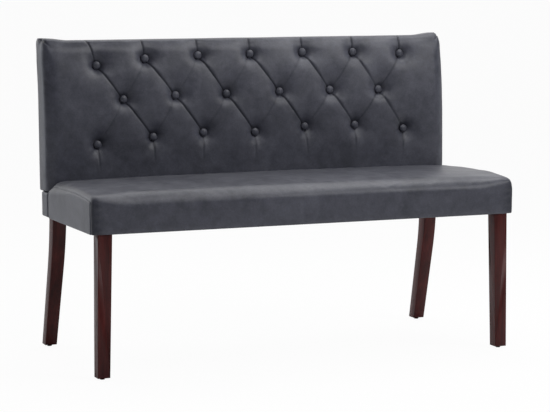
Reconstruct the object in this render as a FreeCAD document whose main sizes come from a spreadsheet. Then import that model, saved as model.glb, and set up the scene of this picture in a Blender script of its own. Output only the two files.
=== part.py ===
import FreeCAD, Part
import Sketcher
import os
from types import SimpleNamespace
from FreeCAD import Placement, Rotation, Vector

# Upholstered bench with a button tufted back on four wooden legs.
# Millimetres, +Z up, +X along the seat, +Y towards the back.
# The origin is on the floor below the middle of the bench.

doc = FreeCAD.newDocument("UpholsteredBench")

driving_sizes = {
    # whole bench
    "bench_width": 1212,
    "bench_depth": 562,
    "frame_bottom": 378,
    "cover_thickness": 1.2,
    "wadding_thickness": 4,
    "fit_gap": 0.3,
    "cut_overrun": 10,
    # seat
    "seat_depth": 422,
    "seat_top": 489.5,
    "seat_corner_radius": 9,
    "rail_thickness": 18,
    "rail_height": 60,
    "cross_rail_spacing": 380,
    "deck_thickness": 10,
    "hem_width": 30,
    "dust_cover_thickness": 0.8,
    "dust_cover_inset": 12,
    "side_panel_height": 97,
    "corner_block_width": 60,
    "corner_block_end": 20,
    "corner_block_height": 30,
    # front legs
    "leg_top_section": 38.6,
    "leg_foot_section": 33.5,
    "leg_edge_radius": 1.5,
    "front_leg_side_inset": 17.9,
    "front_leg_side_inset_at_foot": 14.1,
    "front_leg_front_inset": 7.3,
    "front_leg_front_inset_at_foot": 12.6,
    # back legs, which run on as the posts of the back
    "post_top": 843,
    "post_standoff": 16,
    "post_lean": 34.4,
    "post_side_inset": 19.5,
    "post_side_inset_at_foot": 15.9,
    # glides
    "glide_height": 5,
    "glide_radius": 8,
    "glide_flat_radius": 6,
    "glide_nail_radius": 1.2,
    "glide_nail_length": 16,
    # back frame
    "back_bottom_rail_height": 60,
    "back_lower_rail_height": 45,
    "back_lower_rail_drop": 51,
    "back_top_rail_height": 20,
    "stile_width": 40,
    "back_board_thickness": 5,
    "rear_board_thickness": 3,
    # back upholstery
    "back_top_padding": 23,
    "back_top_front_radius": 24,
    "back_top_rear_radius": 22,
    "back_overhang": 4,
    "back_straight_height": 112,
    "back_lean": 28,
    "back_corner_radius": 24,
    "back_front_allowance": 12,
    "rear_padding": 8.5,
    "rear_padding_at_block": 23.4,
    "lower_block_height": 69,
    "lower_block_padding": 6.4,
    "rear_wrap": 12,
    # tufting
    "top_row_drop": 12,
    "row_spacing": 107.5,
    "column_spacing": 155,
    "tuft_depth": 16,
    "button_seat_depth": 14,
    "fold_depth": 5,
    "pleat_depth": 6,
    "lower_pleat_depth": 1.5,
    "pillow_crown": 2.5,
    "edge_crown": 1,
    "end_drop": 5,
    "button_radius": 11,
    "button_height": 8,
    "button_clearance": 0.4,
    "twine_radius": 0.8,
    "twine_washer_radius": 6,
    "twine_washer_thickness": 1.5,
    # fasteners
    "bolt_radius": 4,
    "bolt_hole_clearance": 0.3,
    "bolt_head_radius": 7,
    "bolt_head_height": 4.5,
    "washer_radius": 8.5,
    "washer_thickness": 1.6,
    "nut_radius": 7.5,
    "nut_height": 6.5,
    "leg_bolt_grip": 40,
    "leg_bolt_offset": 7,
    "leg_bolt_tail": 3,
    "insert_radius": 6,
    "insert_length": 15,
    "insert_recess": 3,
    "seat_bolt_reach": 12,
    "dowel_radius": 4,
    "dowel_length": 40,
    "dowel_in_side_rail": 12,
    "screw_radius": 2,
    "screw_head_radius": 4,
    "screw_head_height": 3,
    "block_screw_length": 42,
    "deck_screw_length": 30,
}

sheet = doc.addObject("Spreadsheet::Sheet", "Sizes")
for row, (alias, number) in enumerate(driving_sizes.items(), start=1):
    sheet.set(f"A{row}", alias)
    sheet.set(f"B{row}", str(number))
    sheet.setAlias(f"B{row}", alias)
doc.recompute()


class Size:
    # A length that knows its number and the expression that it comes from
    def __init__(self, number, text):
        self.number = number
        self.text = text

    def joined(self, sign, other, number):
        right = other.text if isinstance(other, Size) else str(other)
        return Size(number, f"({self.text} {sign} {right})")

    def __add__(self, other):
        return self.joined("+", other, self.number + float(other))

    def __sub__(self, other):
        return self.joined("-", other, self.number - float(other))

    def __mul__(self, other):
        return self.joined("*", other, self.number * float(other))

    def __truediv__(self, other):
        return self.joined("/", other, self.number / float(other))

    def __pow__(self, power):
        return self.joined("^", power, self.number ** power)

    def __neg__(self):
        return Size(-self.number, f"(-1 * {self.text})")

    def __float__(self):
        return float(self.number)


size = SimpleNamespace(**{name: Size(float(sheet.get(name)), f"Sizes.{name}") for name in driving_sizes})
nothing = size.fit_gap * 0

# Places that several pieces share
half_width = size.bench_width / 2
seat_front = -size.bench_depth / 2
seat_rear = seat_front + size.seat_depth
skin_bottom = size.frame_bottom - size.cover_thickness
padding = size.cover_thickness + size.wadding_thickness
rail_outer_x = half_width - padding
rail_inner_x = rail_outer_x - size.rail_thickness
rail_front_y = seat_front + padding
rail_back_y = seat_rear - padding
frame_front_y = rail_front_y + size.rail_thickness
frame_back_y = rail_back_y - size.rail_thickness
rail_top = size.frame_bottom + size.rail_height
deck_top = rail_top + size.deck_thickness
post_outer_x = half_width - size.post_side_inset
post_inner_x = post_outer_x - size.leg_top_section
post_middle_x = post_outer_x - size.leg_top_section / 2
post_front_y = seat_rear + size.post_standoff
post_rear_y = post_front_y + size.leg_top_section
foot_rear_y = -seat_front
back_top = size.post_top + size.back_top_padding
back_face_y = seat_rear - size.back_overhang
lower_block_top = size.frame_bottom + size.lower_block_height
top_rail_bottom = size.post_top - size.back_top_rail_height
top_row_height = top_rail_bottom - size.top_row_drop
bolt_hole_radius = size.bolt_radius + size.bolt_hole_clearance

# Rear edge of a back leg up to the seat frame: shares of its kick and of its height,
# and how far its section has grown from foot to top. A row with "bend" is the middle of an arc.
leg_shares = (
    (1, 0, 0),
    (0.24, 0.617, 0.62),
    (0.07, 0.804, 0.8, "bend"),
    (0, 1, 1),
)

# Rear edge of the post above: shares of its lean and of its height
post_shares = (
    (0.506, 0.692),
    (0.724, 0.84, "bend"),
    (1, 1),
)

# Side view of the seat: shares of its depth from the front and of its height from the underside
seat_side_shares = (
    (0, 0),
    (0, 0.74),
    (0.013, 0.87, "bend"),
    (0.047, 0.934),
    (0.40, 1, "bend"),
    (0.843, 0.975),
    (0.945, 0.90, "bend"),
    (1, 0.69),
    (1, 0),
)

# Front view of the right half of the seat: shares of half its width and of its height
seat_front_shares = (
    (1, 0),
    (1, 0.86),
    (0.996, 0.93, "bend"),
    (0.984, 0.955),
    (0, 1.01, "bend"),
)

# Front view of the right half of the back, with its raised corner
back_front_shares = (
    (1, 0),
    (1, 0.974),
    (0.995, 0.994, "bend"),
    (0.98, 1),
    (0.93, 0.992, "bend"),
    (0.87, 0.985),
    (0, 0.988, "bend"),
)

# How far each hand tied button sits from its even place, left to right:
# shares of the column spacing sideways and of the row spacing upwards
button_shift_shares = (
    ((0.07, -0.19), (-0.02, -0.04), (-0.01, 0.02), (0, 0.03), (0.04, 0.05), (0.06, 0.03), (0.02, -0.03)),
    ((0.04, -0.07), (0.02, 0), (0, 0.01), (0.04, 0.03), (0.05, 0.04), (0.04, 0.02)),
    ((0.04, -0.21), (0.08, -0.06), (0.04, 0.01), (0.04, -0.02), (0.03, 0.08), (0.04, 0.08), (0.04, -0.06)),
)
row_names = ("top", "middle", "bottom")

pieces = []


def keep(name, thing):
    # A finished piece of the bench, to be written under its own name
    thing.Label = name
    pieces.append(thing)
    return thing


def bind(thing, **bound):
    for name, length in bound.items():
        thing.setExpression(name.replace("_", "."), length.text)


def move(thing, at):
    for axis, length in zip("xyz", at):
        thing.setExpression(f"Placement.Base.{axis}", length.text)
    return thing


def box(name, low, high):
    made = doc.addObject("Part::Box", name)
    bind(made, Length=high[0] - low[0], Width=high[1] - low[1], Height=high[2] - low[2])
    return move(made, low)


turned = {
    "up": Rotation(),
    "back": Rotation(Vector(1, 0, 0), -90),
    "right": Rotation(Vector(0, 1, 0), 90),
}


def rod(name, radius, length, at, way="up"):
    made = doc.addObject("Part::Cylinder", name)
    made.Placement = Placement(Vector(), turned[way])
    bind(made, Radius=radius, Height=length)
    return move(made, at)


def cone(name, radius_at_start, radius_at_end, length, at, way="up"):
    made = doc.addObject("Part::Cone", name)
    made.Placement = Placement(Vector(), turned[way])
    bind(made, Radius1=radius_at_start, Radius2=radius_at_end, Height=length)
    return move(made, at)


def group(name, members):
    made = doc.addObject("Part::Compound", name)
    made.Links = members
    return made


def mirrored(name, source):
    made = doc.addObject("Part::Mirroring", name)
    made.Source = source
    made.Normal = Vector(1, 0, 0)
    return made


def both_sides(name, source):
    return group(name, [source, mirrored(f"{name}_left", source)])


def cut(name, base, tool):
    made = doc.addObject("Part::Cut", name)
    made.Base = base
    made.Tool = tool
    return made


def joined(name, members):
    made = doc.addObject("Part::MultiFuse", name)
    made.Shapes = members
    return made


def shared(name, first, second):
    made = doc.addObject("Part::MultiCommon", name)
    made.Shapes = [first, second]
    return made


def formed(name, shape):
    made = doc.addObject("Part::Feature", name)
    made.Shape = shape
    made.Placement = Placement()
    return made


def plane_of(body, role):
    return next(origin for origin in body.Origin.OriginFeatures if origin.Role == role)


def outline_sketch(body, name, role, points):
    # Closed outline on a plane of the body: (across, up) corners, and (across, up, "bend") arc middles
    sketch = body.newObject("Sketcher::SketchObject", name)
    sketch.AttachmentSupport = [(plane_of(body, role), "")]
    sketch.MapMode = "FlatFace"
    corners = [index for index, point in enumerate(points) if len(point) == 2]
    ends = []
    for order, index in enumerate(corners):
        following = corners[(order + 1) % len(corners)]
        first, last = (Vector(float(points[i][0]), float(points[i][1]), 0) for i in (index, following))
        if (index + 1) % len(points) == following:
            edge = sketch.addGeometry(Part.LineSegment(first, last))
            ends.append((edge, 1, 2))
            continue
        bend = points[index + 1]
        middle = Vector(float(bend[0]), float(bend[1]), 0)
        edge = sketch.addGeometry(Part.Arc(first, middle, last))
        anticlockwise = (middle - first).cross(last - first).z > 0
        ends.append((edge, 1, 2) if anticlockwise else (edge, 2, 1))
        mark = sketch.addGeometry(Part.Point(middle), True)
        fix_point(sketch, mark, 1, bend, f"bend_{index + 1}")
        sketch.addConstraint(Sketcher.Constraint("PointOnObject", mark, 1, edge))
    for order, (edge, start, end) in enumerate(ends):
        next_edge, next_start, _ = ends[(order + 1) % len(ends)]
        sketch.addConstraint(Sketcher.Constraint("Coincident", edge, end, next_edge, next_start))
        fix_point(sketch, edge, start, points[corners[order]], f"corner_{corners[order]}")
    return sketch


def fix_point(sketch, edge, end, point, name):
    for kind, way, length in (("DistanceX", "across", point[0]), ("DistanceY", "up", point[1])):
        made = sketch.addConstraint(Sketcher.Constraint(kind, -1, 1, edge, end, float(length)))
        sketch.renameConstraint(made, f"{name}_{way}")
        sketch.setExpression(f"Constraints.{name}_{way}", length.text)


def plate(name, role, points, thickness, both_ways=False, start=nothing):
    # An outline given a thickness along the plane's normal
    body = doc.addObject("PartDesign::Body", name)
    sketch = outline_sketch(body, f"{name}_outline", role, points)
    sketch.setExpression("AttachmentOffset.Base.z", start.text)
    pad = body.newObject("PartDesign::Pad", f"{name}_pad")
    pad.Profile = sketch
    pad.setExpression("Length", thickness.text)
    pad.Midplane = both_ways
    return body


def rectangle(low, high):
    return ((low[0], low[1]), (high[0], low[1]), (high[0], high[1]), (low[0], high[1]))


def rounded_lengthways(body, name, base, radius):
    # Softens the long upright edges of the body's last feature
    doc.recompute()
    long_edge = base.Shape.BoundBox.ZLength / 2
    names = [
        f"Edge{number}"
        for number, edge in enumerate(base.Shape.Edges, start=1)
        if edge.BoundBox.ZLength > long_edge
    ]
    fillet = body.newObject("PartDesign::Fillet", name)
    fillet.Base = (base, names)
    fillet.setExpression("Radius", radius.text)
    return fillet


def washer(name, radius, hole, thickness, at, way="up"):
    blank = rod(f"{name}_blank", radius, thickness, at, way)
    return cut(name, blank, rod(f"{name}_hole", hole, thickness, at, way))


# Front legs: square, tapering to the foot, each with a glide and held by a hanger bolt

def leg_section(body, name, section, side_inset, front_inset, height):
    right = half_width - side_inset
    front = seat_front + front_inset
    points = rectangle((right - section, front), (right, front + section))
    sketch = outline_sketch(body, name, "XY_Plane", points)
    sketch.setExpression("AttachmentOffset.Base.z", height.text)
    return sketch


leg_body = doc.addObject("PartDesign::Body", "front_leg_blank")
leg_top_sketch = leg_section(
    leg_body, "leg_top", size.leg_top_section,
    size.front_leg_side_inset, size.front_leg_front_inset, size.frame_bottom)
leg_foot_sketch = leg_section(
    leg_body, "leg_foot", size.leg_foot_section,
    size.front_leg_side_inset_at_foot, size.front_leg_front_inset_at_foot, size.glide_height)
leg_loft = leg_body.newObject("PartDesign::AdditiveLoft", "leg_taper")
leg_loft.Profile = leg_top_sketch
leg_loft.Sections = [leg_foot_sketch]
leg_loft.Ruled = True
rounded_lengthways(leg_body, "leg_soft_edges", leg_loft, size.leg_edge_radius)

leg_bolt_x = half_width - size.front_leg_side_inset - size.leg_top_section / 2 - size.leg_bolt_offset
leg_bolt_y = seat_front + size.front_leg_front_inset + size.leg_top_section / 2 + size.leg_bolt_offset
block_top = size.frame_bottom + size.corner_block_height
nut_bottom = block_top + size.washer_thickness
leg_bolt_bottom = size.frame_bottom - size.leg_bolt_grip
leg_bolt_length = nut_bottom + size.nut_height + size.leg_bolt_tail - leg_bolt_bottom
leg_bolt = rod("leg_bolt", size.bolt_radius, leg_bolt_length, (leg_bolt_x, leg_bolt_y, leg_bolt_bottom))
keep("front_leg_bolts", both_sides("front_leg_bolts", leg_bolt))
leg_washer = washer(
    "leg_washer", size.washer_radius, size.bolt_radius, size.washer_thickness,
    (leg_bolt_x, leg_bolt_y, block_top))
keep("front_leg_washers", both_sides("front_leg_washers", leg_washer))
nut_blank = doc.addObject("Part::Prism", "leg_nut_blank")
nut_blank.Polygon = 6
bind(nut_blank, Circumradius=size.nut_radius, Height=size.nut_height)
move(nut_blank, (leg_bolt_x, leg_bolt_y, nut_bottom))
keep("front_leg_nuts", both_sides("front_leg_nuts", cut("leg_nut", nut_blank, leg_bolt)))


def glide(name, x, y):
    rim = cone(f"{name}_rim", size.glide_flat_radius, size.glide_radius, size.glide_height, (x, y, nothing))
    nail = rod(
        f"{name}_nail", size.glide_nail_radius, size.glide_height + size.glide_nail_length, (x, y, nothing))
    return joined(name, [rim, nail])


front_glide = glide(
    "front_glide",
    half_width - size.front_leg_side_inset_at_foot - size.leg_foot_section / 2,
    seat_front + size.front_leg_front_inset_at_foot + size.leg_foot_section / 2)
back_glide = glide(
    "back_glide",
    half_width - size.post_side_inset_at_foot - size.leg_foot_section / 2,
    -seat_front - size.leg_foot_section / 2)
glide_pair = group("right_glides", [front_glide, back_glide])
keep("foot_glides", both_sides("foot_glides", glide_pair))

front_leg_right = keep(
    "front_leg_right",
    cut("front_leg_right", leg_body, group("front_leg_bores", [leg_bolt, front_glide])))
keep("front_leg_left", mirrored("front_leg_left", front_leg_right))


# Back legs: sabre curved below, and running up inside the back as its posts

def rear_edge_rows():
    # Places along the rear edge of leg and post with the section there
    kick = foot_rear_y - post_rear_y
    leg_height = size.frame_bottom - size.glide_height
    post_height = size.post_top - size.frame_bottom
    growth = size.leg_top_section - size.leg_foot_section
    rows = [
        (post_rear_y + kick * row[0], size.glide_height + leg_height * row[1],
         size.leg_foot_section + growth * row[2]) + row[3:]
        for row in leg_shares
    ]
    rows += [
        (post_rear_y + size.post_lean * row[0], size.frame_bottom + post_height * row[1],
         size.leg_top_section) + row[2:]
        for row in post_shares
    ]
    return rows


def shifted(rows, shift):
    # The rows' places, each moved rearwards by its own distance
    return [(row[0] + shift(row), row[1]) + row[3:] for row in rows]


edge_rows = rear_edge_rows()
post_outline = shifted(edge_rows, lambda row: nothing)
post_outline += shifted(reversed(edge_rows), lambda row: -row[2])
post_side = plate("post_side", "YZ_Plane", post_outline, half_width)
post_foot_x = half_width - size.post_side_inset_at_foot
post_front_points = (
    (post_foot_x - size.leg_foot_section, size.glide_height),
    (post_foot_x, size.glide_height),
    (post_outer_x, size.frame_bottom),
    (post_outer_x, size.post_top + size.cut_overrun),
    (post_inner_x, size.post_top + size.cut_overrun),
    (post_inner_x, size.frame_bottom),
)
post_front = plate("post_front", "XZ_Plane", post_front_points, size.bench_depth, both_ways=True)
post_blank = shared("post_blank", post_side, post_front)


# Frame of the back: everything between the posts follows their curve

frame_rows = edge_rows[len(leg_shares) - 1:]


def frame_layer(name, front, rear, width):
    # A layer of the back between two distances behind the posts' rear edge
    points = shifted(frame_rows, lambda row: rear) + shifted(reversed(frame_rows), lambda row: front)
    return plate(name, "YZ_Plane", points, width, both_ways=True)


def between_heights(name, layer, low, high, left=-half_width, right=half_width):
    zone = box(f"{name}_zone", (left, nothing, low), (right, size.bench_depth, high))
    return shared(name, layer, zone)


frame_width = post_outer_x * 2
frame_depth = size.leg_top_section
frame_zone = frame_layer("back_frame_zone", -frame_depth, nothing, frame_width)
bottom_row_height = top_row_height - size.row_spacing * 2
lower_rail_top = bottom_row_height - size.back_lower_rail_drop
lower_rail_bottom = lower_rail_top - size.back_lower_rail_height
bottom_rail_top = size.frame_bottom + size.back_bottom_rail_height


def frame_slope_y(height):
    # Rear edge of the posts on their straight stretch above the seat
    low, high = frame_rows[:2]
    return low[0] + size.post_lean * post_shares[0][0] * (float(height - low[1]) / float(high[1] - low[1]))


dowel_y_share = 0.35
dowel_height_shares = (0.25, 0.75)
dowel_heights = [
    bottom + rail_height * share
    for bottom, rail_height in ((size.frame_bottom, size.back_bottom_rail_height),
                                (lower_rail_bottom, size.back_lower_rail_height))
    for share in dowel_height_shares
]
dowel_places = [(frame_slope_y(height) - frame_depth * dowel_y_share, height) for height in dowel_heights]
top_dowel_y = frame_rows[-1][0] - frame_depth / 2
dowel_places.append((top_dowel_y, size.post_top - size.back_top_rail_height / 2))
frame_dowels = [
    rod(f"back_dowel_{number}", size.dowel_radius, size.dowel_length,
        (post_inner_x - size.dowel_length / 2, y, height), "right")
    for number, (y, height) in enumerate(dowel_places)
]
back_frame_dowels = keep(
    "back_frame_dowels", both_sides("back_frame_dowels", group("right_back_dowels", frame_dowels)))


def back_rail(name, low, high):
    blank = between_heights(f"{name}_blank", frame_zone, low, high, -post_inner_x, post_inner_x)
    return keep(name, cut(name, blank, back_frame_dowels))


back_rail("back_bottom_rail", size.frame_bottom, bottom_rail_top)
back_rail("back_lower_rail", lower_rail_bottom, lower_rail_top)
back_rail("back_top_rail", top_rail_bottom, size.post_top)
stile_column_share = 1.25
stile_left_edge = size.column_spacing * stile_column_share - size.stile_width / 2
back_stile = between_heights(
    "back_stile", frame_zone, lower_rail_top, top_rail_bottom,
    stile_left_edge, stile_left_edge + size.stile_width)
keep("back_stiles", both_sides("back_stiles", back_stile))


# Bolts that hold the seat unit to the posts

seat_bolt_height_shares = (0.18, 0.82)
insert_front_y = post_front_y + size.insert_recess
bolt_start_y = frame_back_y - size.washer_thickness
bolt_length = insert_front_y + size.seat_bolt_reach - bolt_start_y
bolts, washers, inserts, bolt_holes, insert_bores = [], [], [], [], []
for number, share in enumerate(seat_bolt_height_shares):
    height = size.frame_bottom + size.rail_height * share
    shank = rod(f"seat_bolt_shank_{number}", size.bolt_radius, bolt_length,
                (post_middle_x, bolt_start_y, height), "back")
    head = rod(f"seat_bolt_head_{number}", size.bolt_head_radius, size.bolt_head_height,
               (post_middle_x, bolt_start_y - size.bolt_head_height, height), "back")
    bolts.append(joined(f"seat_bolt_{number}", [shank, head]))
    washers.append(washer(
        f"seat_washer_{number}", size.washer_radius, size.bolt_radius, size.washer_thickness,
        (post_middle_x, bolt_start_y, height), "back"))
    insert_blank = rod(f"insert_blank_{number}", size.insert_radius, size.insert_length,
                       (post_middle_x, insert_front_y, height), "back")
    inserts.append(cut(f"insert_{number}", insert_blank, shank))
    bolt_holes.append(rod(f"bolt_hole_{number}", bolt_hole_radius, insert_front_y - bolt_start_y,
                          (post_middle_x, bolt_start_y, height), "back"))
    insert_bores.append(rod(
        f"insert_bore_{number}", size.insert_radius, size.insert_length + size.insert_recess,
        (post_middle_x, post_front_y, height), "back"))
keep("seat_to_back_bolts", both_sides("seat_to_back_bolts", group("right_seat_bolts", bolts)))
keep("seat_to_back_washers", both_sides("seat_to_back_washers", group("right_seat_washers", washers)))
keep("post_insert_nuts", both_sides("post_insert_nuts", group("right_inserts", inserts)))
seat_bolt_holes = both_sides("seat_bolt_holes", group("right_bolt_holes", bolt_holes))

post_bores = group("post_bores", frame_dowels + [back_glide])
back_leg_drilled = cut("back_leg_drilled", post_blank, post_bores)
back_leg_right = keep(
    "back_leg_right",
    cut("back_leg_right", back_leg_drilled, group("right_insert_bores", insert_bores)))
keep("back_leg_left", mirrored("back_leg_left", back_leg_right))


# Seat frame: four rails, two cross rails, corner blocks and the deck

seat_dowel_height_shares = (0.35, 0.65)
seat_dowels = []
for end, y in (("front", rail_front_y), ("back", frame_back_y)):
    for number, share in enumerate(seat_dowel_height_shares):
        at = (rail_inner_x + size.dowel_in_side_rail - size.dowel_length,
              y + size.rail_thickness / 2,
              size.frame_bottom + size.rail_height * share)
        seat_dowels.append(rod(f"{end}_dowel_{number}", size.dowel_radius, size.dowel_length, at, "right"))
seat_frame_dowels = keep(
    "seat_frame_dowels", both_sides("seat_frame_dowels", group("right_seat_dowels", seat_dowels)))


def screw(name, length, at, way):
    # A countersunk screw whose head is at the given end
    x, y, z = at
    if way == "up":
        head_at = (x, y, z + length - size.screw_head_height)
        widths = (size.screw_radius, size.screw_head_radius)
    elif way == "right":
        head_at = at
        widths = (size.screw_head_radius, size.screw_radius)
    else:
        head_at = (x, y + length - size.screw_head_height, z)
        widths = (size.screw_radius, size.screw_head_radius)
    shank = rod(f"{name}_shank", size.screw_radius, length, at, way)
    head = cone(f"{name}_head", widths[0], widths[1], size.screw_head_height, head_at, way)
    return joined(name, [shank, head])


block_middle_z = size.frame_bottom + size.corner_block_height / 2
block_screw_inset = size.corner_block_end / 2
block_at_screw = size.corner_block_end + block_screw_inset
block_screws = [
    screw("block_screw_front", size.block_screw_length,
          (rail_inner_x - size.corner_block_width + block_screw_inset,
           frame_front_y + block_at_screw - size.block_screw_length,
           block_middle_z), "back"),
    screw("block_screw_side", size.block_screw_length,
          (rail_inner_x - block_at_screw,
           frame_front_y + size.corner_block_width - block_screw_inset,
           block_middle_z), "right"),
]
corner_block_screws = keep(
    "corner_block_screws", both_sides("corner_block_screws", group("right_block_screws", block_screws)))

deck_screw_shares = (0.3, 0.8)
deck_screws = []
for end, y in (("front", rail_front_y), ("back", frame_back_y)):
    for number, share in enumerate(deck_screw_shares):
        at = (half_width * share, y + size.rail_thickness / 2, deck_top - size.deck_screw_length)
        deck_screws.append(screw(f"{end}_deck_screw_{number}", size.deck_screw_length, at, "up"))
deck_screws = keep("deck_screws", both_sides("deck_screws", group("right_deck_screws", deck_screws)))

rail_fixings = group("rail_fixings", [seat_frame_dowels, corner_block_screws, deck_screws])
front_rail_blank = box(
    "front_rail_blank", (-rail_inner_x, rail_front_y, size.frame_bottom),
    (rail_inner_x, frame_front_y, rail_top))
keep("seat_front_rail", cut("seat_front_rail", front_rail_blank, rail_fixings))
back_rail_blank = box(
    "back_rail_blank", (-rail_inner_x, frame_back_y, size.frame_bottom),
    (rail_inner_x, rail_back_y, rail_top))
back_rail_holes = group("back_rail_holes", [rail_fixings, seat_bolt_holes])
keep("seat_back_rail", cut("seat_back_rail", back_rail_blank, back_rail_holes))
side_rail_blank = box(
    "side_rail_blank", (rail_inner_x, rail_front_y, size.frame_bottom),
    (rail_outer_x, rail_back_y, rail_top))
seat_right_rail = keep("seat_right_rail", cut("seat_right_rail", side_rail_blank, rail_fixings))
keep("seat_left_rail", mirrored("seat_left_rail", seat_right_rail))
cross_rail_x = size.cross_rail_spacing / 2 - size.rail_thickness / 2
cross_rail = box(
    "cross_rail", (cross_rail_x, frame_front_y, size.frame_bottom),
    (cross_rail_x + size.rail_thickness, frame_back_y, rail_top))
keep("seat_cross_rails", both_sides("seat_cross_rails", cross_rail))
block_left_x = rail_inner_x - size.corner_block_width
block_back_y = frame_front_y + size.corner_block_width
block_points = (
    (block_left_x, frame_front_y),
    (rail_inner_x, frame_front_y),
    (rail_inner_x, block_back_y),
    (rail_inner_x - size.corner_block_end, block_back_y),
    (block_left_x, frame_front_y + size.corner_block_end),
)
block_blank = plate(
    "block_blank", "XY_Plane", block_points, size.corner_block_height, start=size.frame_bottom)
corner_block = cut("corner_block", block_blank, group("block_bores", [leg_bolt] + block_screws))
keep("seat_corner_blocks", both_sides("seat_corner_blocks", corner_block))
deck_blank = box(
    "deck_blank", (-rail_outer_x, rail_front_y, rail_top), (rail_outer_x, rail_back_y, deck_top))
keep("seat_deck", cut("seat_deck", deck_blank, deck_screws))
doc.recompute()


# Seat upholstery: a crowned form, taken inwards for each layer

def vector(*lengths):
    return Vector(*(float(length) for length in lengths))


def wire_of(rows):
    # Closed outline in the side view: (y, z) corners, and (y, z, "bend") arc middles
    return closed_wire([(vector(nothing, row[0], row[1]),) + tuple(row[2:]) for row in rows])


def closed_wire(points):
    corners = [index for index, point in enumerate(points) if len(point) == 1]
    edges = []
    for order, index in enumerate(corners):
        following = corners[(order + 1) % len(corners)]
        first, last = points[index][0], points[following][0]
        if (index + 1) % len(points) == following:
            edges.append(Part.makeLine(first, last))
        else:
            edges.append(Part.Arc(first, points[(index + 1) % len(points)][0], last).toShape())
    return Part.Wire(edges)


def mirrored_shares(half_shares):
    # The whole front outline from its right half, whose last row may lie on the middle line
    left = [(-row[0],) + tuple(row[1:]) for row in reversed(half_shares) if row[0] != 0]
    return tuple(half_shares) + tuple(left)


def front_prism(half_shares, inset, low, high):
    reach = float(half_width) - inset
    low, high = float(low) + inset, float(high) - inset
    points = [
        (Vector(reach * row[0], float(seat_front), low + (high - low) * row[1]),) + tuple(row[2:])
        for row in mirrored_shares(half_shares)
    ]
    return Part.Face(closed_wire(points)).extrude(vector(nothing, size.bench_depth * 2, nothing))


def side_prism(wire, inset):
    # Side outline drawn out past both ends of the bench
    reach = half_width + size.cut_overrun
    if inset > 0:
        wire = wire.makeOffset2D(-inset, 2)
    prism = Part.Face(wire).extrude(vector(reach * 2, nothing, nothing))
    prism.translate(vector(-reach, nothing, nothing))
    return prism


arc_middle_share = 0.5 ** 0.5


def plan_prism(corner_radius, front, rear, inset):
    # Plan view with rounded front corners
    reach = float(half_width) - inset
    front, rear, radius = front + inset, rear - inset, float(corner_radius) - inset
    bow = radius * (1 - arc_middle_share)
    right = [
        (Vector(reach, rear, 0),),
        (Vector(reach, front + radius, 0),),
        (Vector(reach - bow, front + bow, 0), "bend"),
        (Vector(reach - radius, front, 0),),
    ]
    left = [(Vector(-row[0].x, row[0].y, 0),) + row[1:] for row in reversed(right)]
    return Part.Face(closed_wire(right + left)).extrude(vector(nothing, nothing, back_top + size.cut_overrun))


def seat_form(inset):
    height = size.seat_top - skin_bottom
    rows = [(seat_front + size.seat_depth * row[0], skin_bottom + height * row[1]) + row[2:]
            for row in seat_side_shares]
    form = side_prism(wire_of(rows), inset)
    form = form.common(front_prism(seat_front_shares, inset, skin_bottom, size.seat_top))
    return form.common(plan_prism(size.seat_corner_radius, float(seat_front), float(seat_rear), inset))


def block_between(low, high):
    low, high = vector(*low), vector(*high)
    return Part.makeBox(high.x - low.x, high.y - low.y, high.z - low.z, low)


def both_halves(shape):
    return [shape, shape.mirror(Vector(), Vector(1, 0, 0))]


cover = float(size.cover_thickness)
outer_seat, under_cover, under_wadding = (seat_form(inset) for inset in (0, cover, float(padding)))
overrun = size.cut_overrun
frame_block = block_between(
    (-rail_outer_x, rail_front_y, size.frame_bottom - overrun), (rail_outer_x, rail_back_y, deck_top))
above_deck = block_between(
    (-half_width, seat_front, deck_top), (half_width, seat_rear, size.seat_top + overrun))
holes = seat_bolt_holes.Shape
keep("seat_foam", formed("seat_foam", under_wadding.common(above_deck)))
wadding = under_cover.cut([under_wadding.common(above_deck), frame_block]).cut(holes)
keep("seat_wadding", formed("seat_wadding", wadding))

hem = size.hem_width
underside_opening = block_between(
    (-half_width + hem, seat_front + hem, skin_bottom - overrun),
    (half_width - hem, seat_rear - hem, size.frame_bottom + size.fit_gap))
front_leg_notch = block_between(
    (half_width - size.front_leg_side_inset - size.leg_top_section - size.fit_gap,
     seat_front + size.front_leg_front_inset - size.fit_gap,
     skin_bottom - overrun),
    (half_width - size.front_leg_side_inset + size.fit_gap,
     seat_front + size.front_leg_front_inset + size.leg_top_section + size.fit_gap,
     size.frame_bottom))
seat_skin = outer_seat.cut(under_cover).cut([underside_opening] + both_halves(front_leg_notch)).cut(holes)
side_panel_zone = block_between(
    (half_width - size.seat_corner_radius, seat_front + size.seat_corner_radius, size.frame_bottom),
    (half_width + overrun, seat_rear - size.seat_corner_radius, size.frame_bottom + size.side_panel_height))
seat_side_panel_right = keep(
    "seat_side_panel_right", formed("seat_side_panel_right", seat_skin.common(side_panel_zone)))
keep("seat_side_panel_left", mirrored("seat_side_panel_left", seat_side_panel_right))
keep("seat_cover", formed("seat_cover", seat_skin.cut(both_halves(side_panel_zone))))

dust_inset = size.dust_cover_inset
dust_sheet = block_between(
    (-half_width + dust_inset, seat_front + dust_inset, skin_bottom - size.dust_cover_thickness),
    (half_width - dust_inset, seat_rear - dust_inset, skin_bottom))
keep("seat_dust_cover", formed("seat_dust_cover", dust_sheet.cut(both_halves(front_leg_notch))))


# Back upholstery: the tufted face is a quilt of curved panels between buttons, folds and pleats

row_heights = [top_row_height - size.row_spacing * number for number in range(len(row_names))]
quilt_side_x = half_width + overrun
quilt_low_z = size.frame_bottom - overrun
quilt_high_z = back_top + overrun
quilt_rear_y = frame_rows[-1][0] + size.rear_padding + overrun * 2
lean_power = 2.5


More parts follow.
